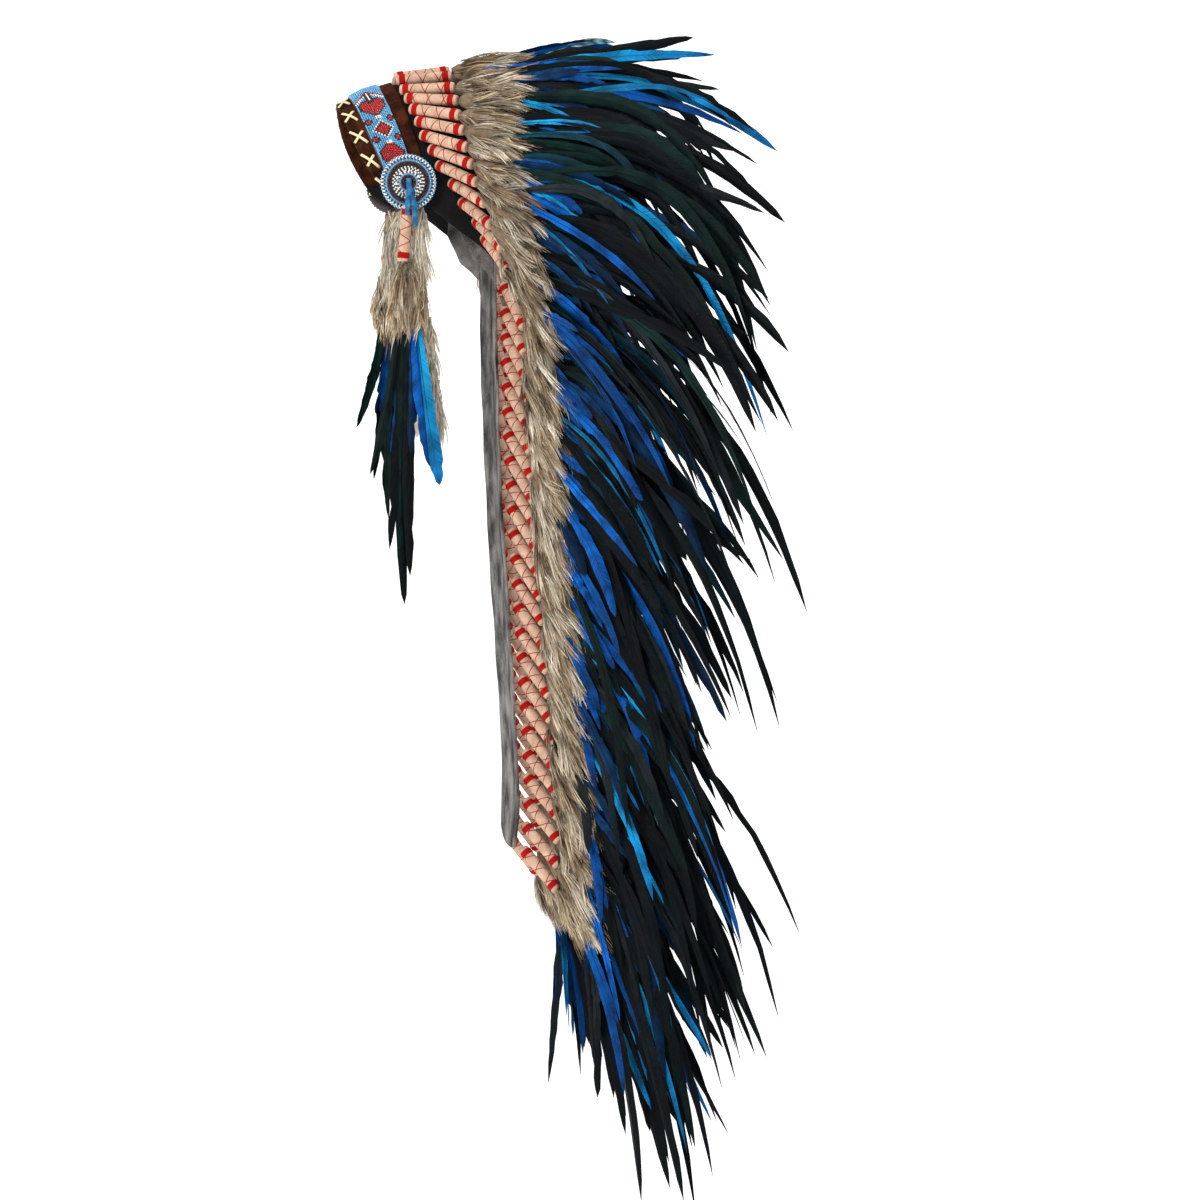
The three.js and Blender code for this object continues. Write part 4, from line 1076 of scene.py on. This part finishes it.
def unitFeathers(units):
    f = plumeForm
    units = np.asarray(units, float)
    each = f["blueCount"] + f["darkCount"]
    n = np.repeat(units, each)
    isBlue = np.tile(np.arange(each) < f["blueCount"], len(units))
    kept = rng.random(len(n)) < np.interp(np.abs(n), f["keptUnit"], f["kept"])
    kept &= ~(isBlue & (np.abs(n) > f["fewerPast"]) & (rng.random(len(n)) < f["fewer"]))
    n, isBlue = n[kept], isBlue[kept]
    size = len(n)
    # the far side draws its dark feathers from farKinds, with more painted glints
    dark = np.where(n < 0, drawKinds(f["farKinds"], size), drawKinds(f["darkKinds"], size))
    kinds = np.where(isBlue, drawKinds(f["blueKinds"], size), dark)
    kinds = np.where(rng.random(size) < f["barred"], featherNames.index("barred"), kinds)
    aim = plumeAim(n)
    row, up = rowFrame(n, aim)
    stray = rng.random(size) < f["strays"]
    fan = rng.normal(0, 1, size).clip(-1.6, 1.6) * np.where(stray, f["fan"][1], f["fan"][0]) * degrees
    lift = np.where(isBlue, rng.uniform(-2, 10, size), rng.uniform(-9, 8, size)) * degrees
    ways = unit(aim + row * np.tan(fan)[:, None] + up * np.tan(lift)[:, None])
    start = f["start"] + rng.uniform(-8, 14, size)
    roots = unitPoint(n, start) + row * rng.uniform(-5, 5, size)[:, None]
    roots = roots + up * np.where(isBlue, rng.uniform(1, 6, size), rng.uniform(-5, 3, size))[:, None]
    share = np.where(isBlue, rng.uniform(*f["blueShare"], size),
                     rng.uniform(*f["darkShare"], size) ** 0.95)
    share = share * np.where(stray, 0.8, 1)
    lengths = (along("reach", n) - start) * share
    for axis, edge in enumerate(f["edges"]):
        room = (edge - np.abs(roots[:, axis])) / np.maximum(np.abs(ways[:, axis]), 0.05)
        lengths = np.minimum(lengths, room)
    lengths = np.minimum(lengths, (f["depth"] + roots[:, 2]) / np.maximum(0.3 - ways[:, 2], 0.05))
    widths = np.where(isBlue, rng.uniform(*f["blueWidth"], size), rng.uniform(*f["darkWidth"], size))
    widths = widths * mix(0.8, 1.1, share) * np.where(kinds == featherNames.index("cyan"), 0.65, 1)
    sideways = xyz(np.sign(n) + (n == 0) * np.sign(fan), 0, 0)
    twist = rng.normal(0, 0.5, size)
    crest = np.interp(np.abs(n), f["crestUnit"], [1, 0])
    faces = unit(up + sideways * (0.5 + 1.4 * crest)[:, None] + row * twist[:, None])
    # the flatter a plume stands out, the more its feathers arch over, but less so over the crown
    level = np.cos(along("plumeDrop", n) * degrees)
    arched = rng.random(size)
    droop = lengths * share * mix(0.15, 1.2, arched) * (0.2 + 0.8 * level ** 1.4) * (1 - 0.7 * crest)
    sway = lengths * rng.normal(0, 0.12, size).clip(-0.16, 0.16)
    steeper = np.interp(np.abs(n), f["steepUnit"], f["steep"])
    ways = unit(ways + np.array([0, 0, 1.0]) * (droop / lengths * 0.52 - steeper)[:, None])
    return feathers(roots, ways, faces, lengths, widths, kinds, droop, sway, rng.uniform(2.4, 4.6, size))


arcForm = [
    # single feathers that stand clear over the crown: unit, turned up and turned outwards in degrees, length,
    # width, droop as a share of the length, kind
    (1, 11, 3, 228, 13, 0.05, "cyan"), (0, 9, -1, 190, 15, 0.03, "black"),
    (2, 5, 7, 226, 14, 0.06, "green"), (1, 6, 5, 288, 16, 0.32, "cyan"), (3, 3, 11, 262, 15, 0.24, "black"),
    (2, 1, 9, 250, 15, 0.16, "blue"), (-1, 8, -5, 235, 14, 0.1, "black"), (-2, 4, -10, 250, 14, 0.2, "cyan"),
    (4, 0, 16, 290, 16, 0.3, "black"), (3, -2, 14, 240, 16, 0.12, "grey"),
    (-3, -1, -14, 260, 14, 0.25, "black"),
]


def arcFeathers(units):
    chosen = [row for row in arcForm if row[0] in units]
    if not chosen:
        return []
    *numbers, names = zip(*chosen)
    n, rise, splay, length, width, droop = np.array(numbers, float)
    kinds = np.array([featherNames.index(name) for name in names])
    ways = aimOf(-rise, splay)
    faces = unit(xyz(np.where(n < 0, -0.9, 0.9), 0, 0.6) + rng.normal(0, 0.15, ways.shape))
    return [feathers(unitPoint(n, 96 + 0 * n), ways, faces, length, width, kinds, droop * length,
                     0.06 * length * np.sign(n), rng.uniform(2.2, 3.2, len(n)))]


for part, word, units in rows:
    plumes = join([unitFeathers(units), *arcFeathers(units)])
    addTinted(f"{part}_feathers_{word}", plumes, featherVane, "feather", [f"{part}_plumes_{word}"])
print("plumes made")


# the drops at the sides: a wrap, a tuft and long feathers over a strip of fur

dropForm = {
    "x": 91.7, "tuftX": 96, "furX": 81.4, "wrap": [(91.7, -27.5, -124.3), (91.7, -33, -179.7)],
    "bladeZ": -238, "farShare": 0.72,
    # the strip of fur down its length: its middle in y, height and half width
    "furY": [-22, -22, -17, -10, -1, 6], "furZ": [-130, -180, -220, -260, -312, -366],
    "furHalf": [15, 15, 12, 10, 8, 4], "skin": "9a8a70",
    # the tuft over it: how far the hairs' roots spread at each height, then the spindle under them
    "tuftZ": [-183, -198, -222, -238], "tuftSpread": [4, 11, 13, 8],
    "bodyZ": [-181.5, -190, -206, -228, -246, -258], "bodyHalf": [3, 8, 12, 13, 9, 2],
    "blades": [
        # root y, tip y, tip z, width, kind, sideways bow; the last lie outermost
        (-38, -47, -392, 12, "green", 12), (-36, -42, -352, 12, "black", 8), (-28, -38, -372, 13, "blue", 4),
        (-24, -34, -430, 13, "teal", -6), (-32, -38, -466, 16, "black", 6), (-30, -42, -520, 17, "green", -7),
        (-27, -33, -492, 13, "black", -4), (-25, -21, -372, 15, "deep", 3), (-20, -6, -402, 20, "cyan", -6),
        (-22, -12, -386, 18, "blue", -5),
    ],
}


def dropFeathers(side):
    # feathers that lie in one thin layer over another, shorter on the far side
    table = dropForm["blades"]
    size = len(table)
    rootY, tipY, tipZ, width, bow = np.array([row[:4] + row[5:] for row in table], float).T
    kinds = np.array([featherNames.index(row[4]) for row in table])
    x, rootZ = dropForm["tuftX"], dropForm["bladeZ"]
    depth = np.linspace(-3, 4, size)
    share = 1 if side > 0 else dropForm["farShare"]
    roots = xyz(x + depth, rootY, rootZ)
    tips = xyz(x + depth * 0.6, tipY, rootZ + (tipZ - rootZ) * share)
    lengths = np.linalg.norm(tips - roots, axis=1)
    faces = unit(xyz(1, rng.normal(0, 0.35, size), 0))
    return mirror(side, *feathers(roots, unit(tips - roots), faces, lengths, width, kinds, 0 * lengths,
                                  bow * 1.6))


def hangingHairs(locks, rootAt, lengthRange, outX, tone, outY=0.24, turnIn=0.35):
    # locks of eight hairs that fall from their roots, standing out a little to every side
    each = 8
    size = locks * each
    roots = np.repeat(rootAt(locks), each, 0) + rng.normal(0, 1.3, (size, 3))
    ways = np.repeat(rng.normal(0, 1, (locks, 3)) * [outX, outY, 0], each, 0)
    ways = ways + rng.normal(0, 0.06, (size, 3))
    ways[:, 2] = -1
    ways = unit(ways)
    lengths = np.repeat(rng.uniform(*lengthRange, locks), each) * rng.uniform(0.7, 1.1, size)
    sag = xyz(-ways[:, 0], -ways[:, 1], 0) * lengths[:, None] * turnIn
    sag = sag + np.repeat(rng.normal(0, 3, (locks, 3)) * [0.5, 1, 1], each, 0)
    rootTint, tipTint = lockTints(locks, each)
    pale = srgb("ece2cc")
    rootTint, tipTint = mix(rootTint, pale * 0.6, tone), mix(tipTint, pale, tone)
    facing = unit(np.array([1.0, 0, 0]) + rng.normal(0, 0.6, (size, 3)))
    return hairs(roots, ways, lengths, sag, rng.uniform(0.9, 1.7, size), facing, rootTint, tipTint)


def sideTuft(side):
    f = dropForm
    topZ, low = f["tuftZ"][0], -np.array(f["tuftZ"])

    def rootAt(count):
        z = topZ - 52 * rng.random(count) ** 1.25
        spread = np.interp(-z, low, f["tuftSpread"])
        angle = rng.random(count) * 2 * math.pi
        return xyz(f["tuftX"] - 2 + spread * 0.4 * np.cos(angle),
                   -30 + (z - topZ) * -0.06 + spread * np.sin(angle), z)

    points, blocks, tints = hangingHairs(350, rootAt, (20, 40), 0.4, 0.05, 0.5, 0.75)
    # dark down the middle, cream at the edges
    away = np.clip(np.abs(points[:, 1:2] + 28) / 20, 0, 1)
    hair = points, blocks, tints * mix(0.5, 1.15, away ** 1.3) * [1, 0.97, 0.93]
    z, half = np.array(f["bodyZ"], float)[:, None], np.array(f["bodyHalf"], float)[:, None]
    angle = np.arange(12) * math.pi / 6
    centreX = np.interp(-z, [181, 198], [f["x"], f["tuftX"]])
    centreY = np.interp(-z, [181, 198, 258], [-32.5, -29, -25])
    rings = xyz(centreX + half * 0.55 * np.cos(angle), centreY + half * np.sin(angle), z)
    return mirror(side, *join([hair, tinted(*tubes(rings[None])[:2], furBodyTint)]))


def furStrip(side):
    # hair over a thin tongue of skin
    y, z, half = (np.array(dropForm[key], float) for key in ("furY", "furZ", "furHalf"))

    def rootAt(count):
        place = -(rng.random(count) ** 1.25 * 214 + 126)
        middle, wide = np.interp(-place, -z, y), np.interp(-place, -z, half)
        return xyz(dropForm["furX"] + 1.5 + rng.uniform(-2, 2, count),
                   middle + wide * 0.75 * rng.uniform(-1, 1, count), place)

    hair = hangingHairs(300, rootAt, (22, 40), 0.05, 0.75)
    across, down = np.meshgrid(np.linspace(-1, 1, 9), np.linspace(0, 1, 33), indexing="xy")
    lineZ = mix(z[0], z[-1] + 6, down)
    lineY = np.interp(-lineZ, -z, y) + across * np.interp(-lineZ, -z, half) * 0.8 * (1.02 - down ** 8)
    outer = xyz(dropForm["furX"] + 0.6 + 0.6 * np.sin(lineZ / 17), lineY, lineZ)
    skin = tinted(*shell(outer, outer - [1.4, 0, 0]), srgb(dropForm["skin"]))
    return mirror(side, *join([hair, skin]))


for word, side in bothSides:
    top, bottom = np.array(dropForm["wrap"])[:, None]
    points, blocks, uv = wrapTubes(top, bottom, np.array([[1.0, 0, 0]]))
    points, blocks = mirror(side, points, outward(points, blocks))
    addPiece(f"drop_wrap_{word}", points, blocks, wrapFelt, "wrap_felt", [f"side_wrap_{word}"], uv=uv)
    addTinted(f"drop_fur_{word}", sideTuft(side), furHair, "fur", [f"side_tuft_{word}"])
    addTinted(f"fur_tongue_{word}", furStrip(side), furHair, "pale_fur", [f"fur_drop_{word}"])
    addTinted(f"drop_feathers_{word}", dropFeathers(side), featherVane, "feather", [f"side_feathers_{word}"])
print("drops made")


# stage, light and camera, in metres and degrees

stageForm = {
    "front": 9.0, "floor": -1.42, "back": -7.5, "top": 5.4, "bend": 0.9, "halfWidth": 9, "glow": 0.62,
}


def sweep():
    # a pale floor that curves up into a back wall: depth and height along one bent line, carried along Y
    f = stageForm
    angle = np.linspace(0, math.pi / 2, 17)
    x = np.concatenate([[f["front"]], f["back"] + f["bend"] * (1 - np.sin(angle)), [f["back"]]])
    z = np.concatenate([[f["floor"]], f["floor"] + f["bend"] * (1 - np.cos(angle)), [f["top"]]])
    y = np.linspace(-f["halfWidth"], f["halfWidth"], 3)
    grid = xyz(x[:, None], y, z[:, None])
    mesh = bpy.data.meshes.new("backdrop")
    mesh.from_pydata(grid.reshape(-1, 3).tolist(), [], gridFaces(len(x), 3)[:, ::-1].tolist())
    mesh.polygons.foreach_set("use_smooth", [True] * len(mesh.polygons))
    paint = Paint("pale backdrop", 0.95, Base_Color=(0.9, 0.9, 0.9, 1), Specular_IOR_Level=0.0,
                  Emission_Color=(1, 1, 1, 1), Emission_Strength=f["glow"])
    mesh.materials.append(paint.material)
    backdrop = bpy.data.objects.new("backdrop", mesh)
    bpy.context.collection.objects.link(backdrop)


def lamp(name, place, target, size, power):
    light = bpy.data.lights.new(name, "AREA")
    light.shape, light.size, light.energy = "DISK", size, power
    made = bpy.data.objects.new(name, light)
    made.location = place
    way = np.array(target) - np.array(place)
    made.rotation_mode = "QUATERNION"
    made.rotation_quaternion = Vector(way).to_track_quat("-Z", "Y")
    bpy.context.collection.objects.link(made)


sweep()
# name, place, what it is aimed at, width in metres, power in watts
lamp("key", (2.6, -2.2, 1.6), (0, 0.1, -0.4), 1.2, 95)
lamp("fill", (2.8, 2.6, 0.4), (0, 0.2, -0.5), 1.8, 34)
lamp("top", (0.4, 0.2, 2.6), (0, 0.1, -0.3), 1.6, 38)
lamp("front", (0.2, -3.0, -0.2), (0, 0, -0.4), 2.0, 16)
world = bpy.data.worlds.new("room")
world.use_nodes = True
background = world.node_tree.nodes["Background"].inputs
background["Color"].default_value = (1, 1, 1, 1)
background["Strength"].default_value = 0.32
bpy.context.scene.world = world
bpy.context.scene.view_settings.view_transform = "Standard"

cameraForm = {
    "azimuth": 82.5, "elevation": 3.0, "right": 0.175, "up": -0.520, "width": 1.2, "distance": 5.0,
    "nearer": 0.045,
}


def camera():
    # the aim is a distance to the right of the origin and up from it, as the camera sees them
    f = cameraForm
    a, e = f["azimuth"] * degrees, f["elevation"] * degrees
    back = np.array([math.sin(a) * math.cos(e), -math.cos(a) * math.cos(e), math.sin(e)])
    right = np.array([math.cos(a), math.sin(a), 0])
    up = np.cross(back, right)
    data = bpy.data.cameras.new("camera")
    data.lens = data.sensor_width * f["distance"] / f["width"]
    data.clip_end = 40
    made = bpy.data.objects.new("camera", data)
    # the width is taken a little in front of the origin, where the near side is
    place = right * f["right"] + up * f["up"] + back * (f["distance"] + f["nearer"])
    turn = np.stack([right, up, back], 1)
    made.matrix_world = Matrix([[*turn[i], place[i]] for i in range(3)] + [[0, 0, 0, 1]])
    bpy.context.collection.objects.link(made)
    bpy.context.scene.camera = made


camera()
print("stage, light and camera made")
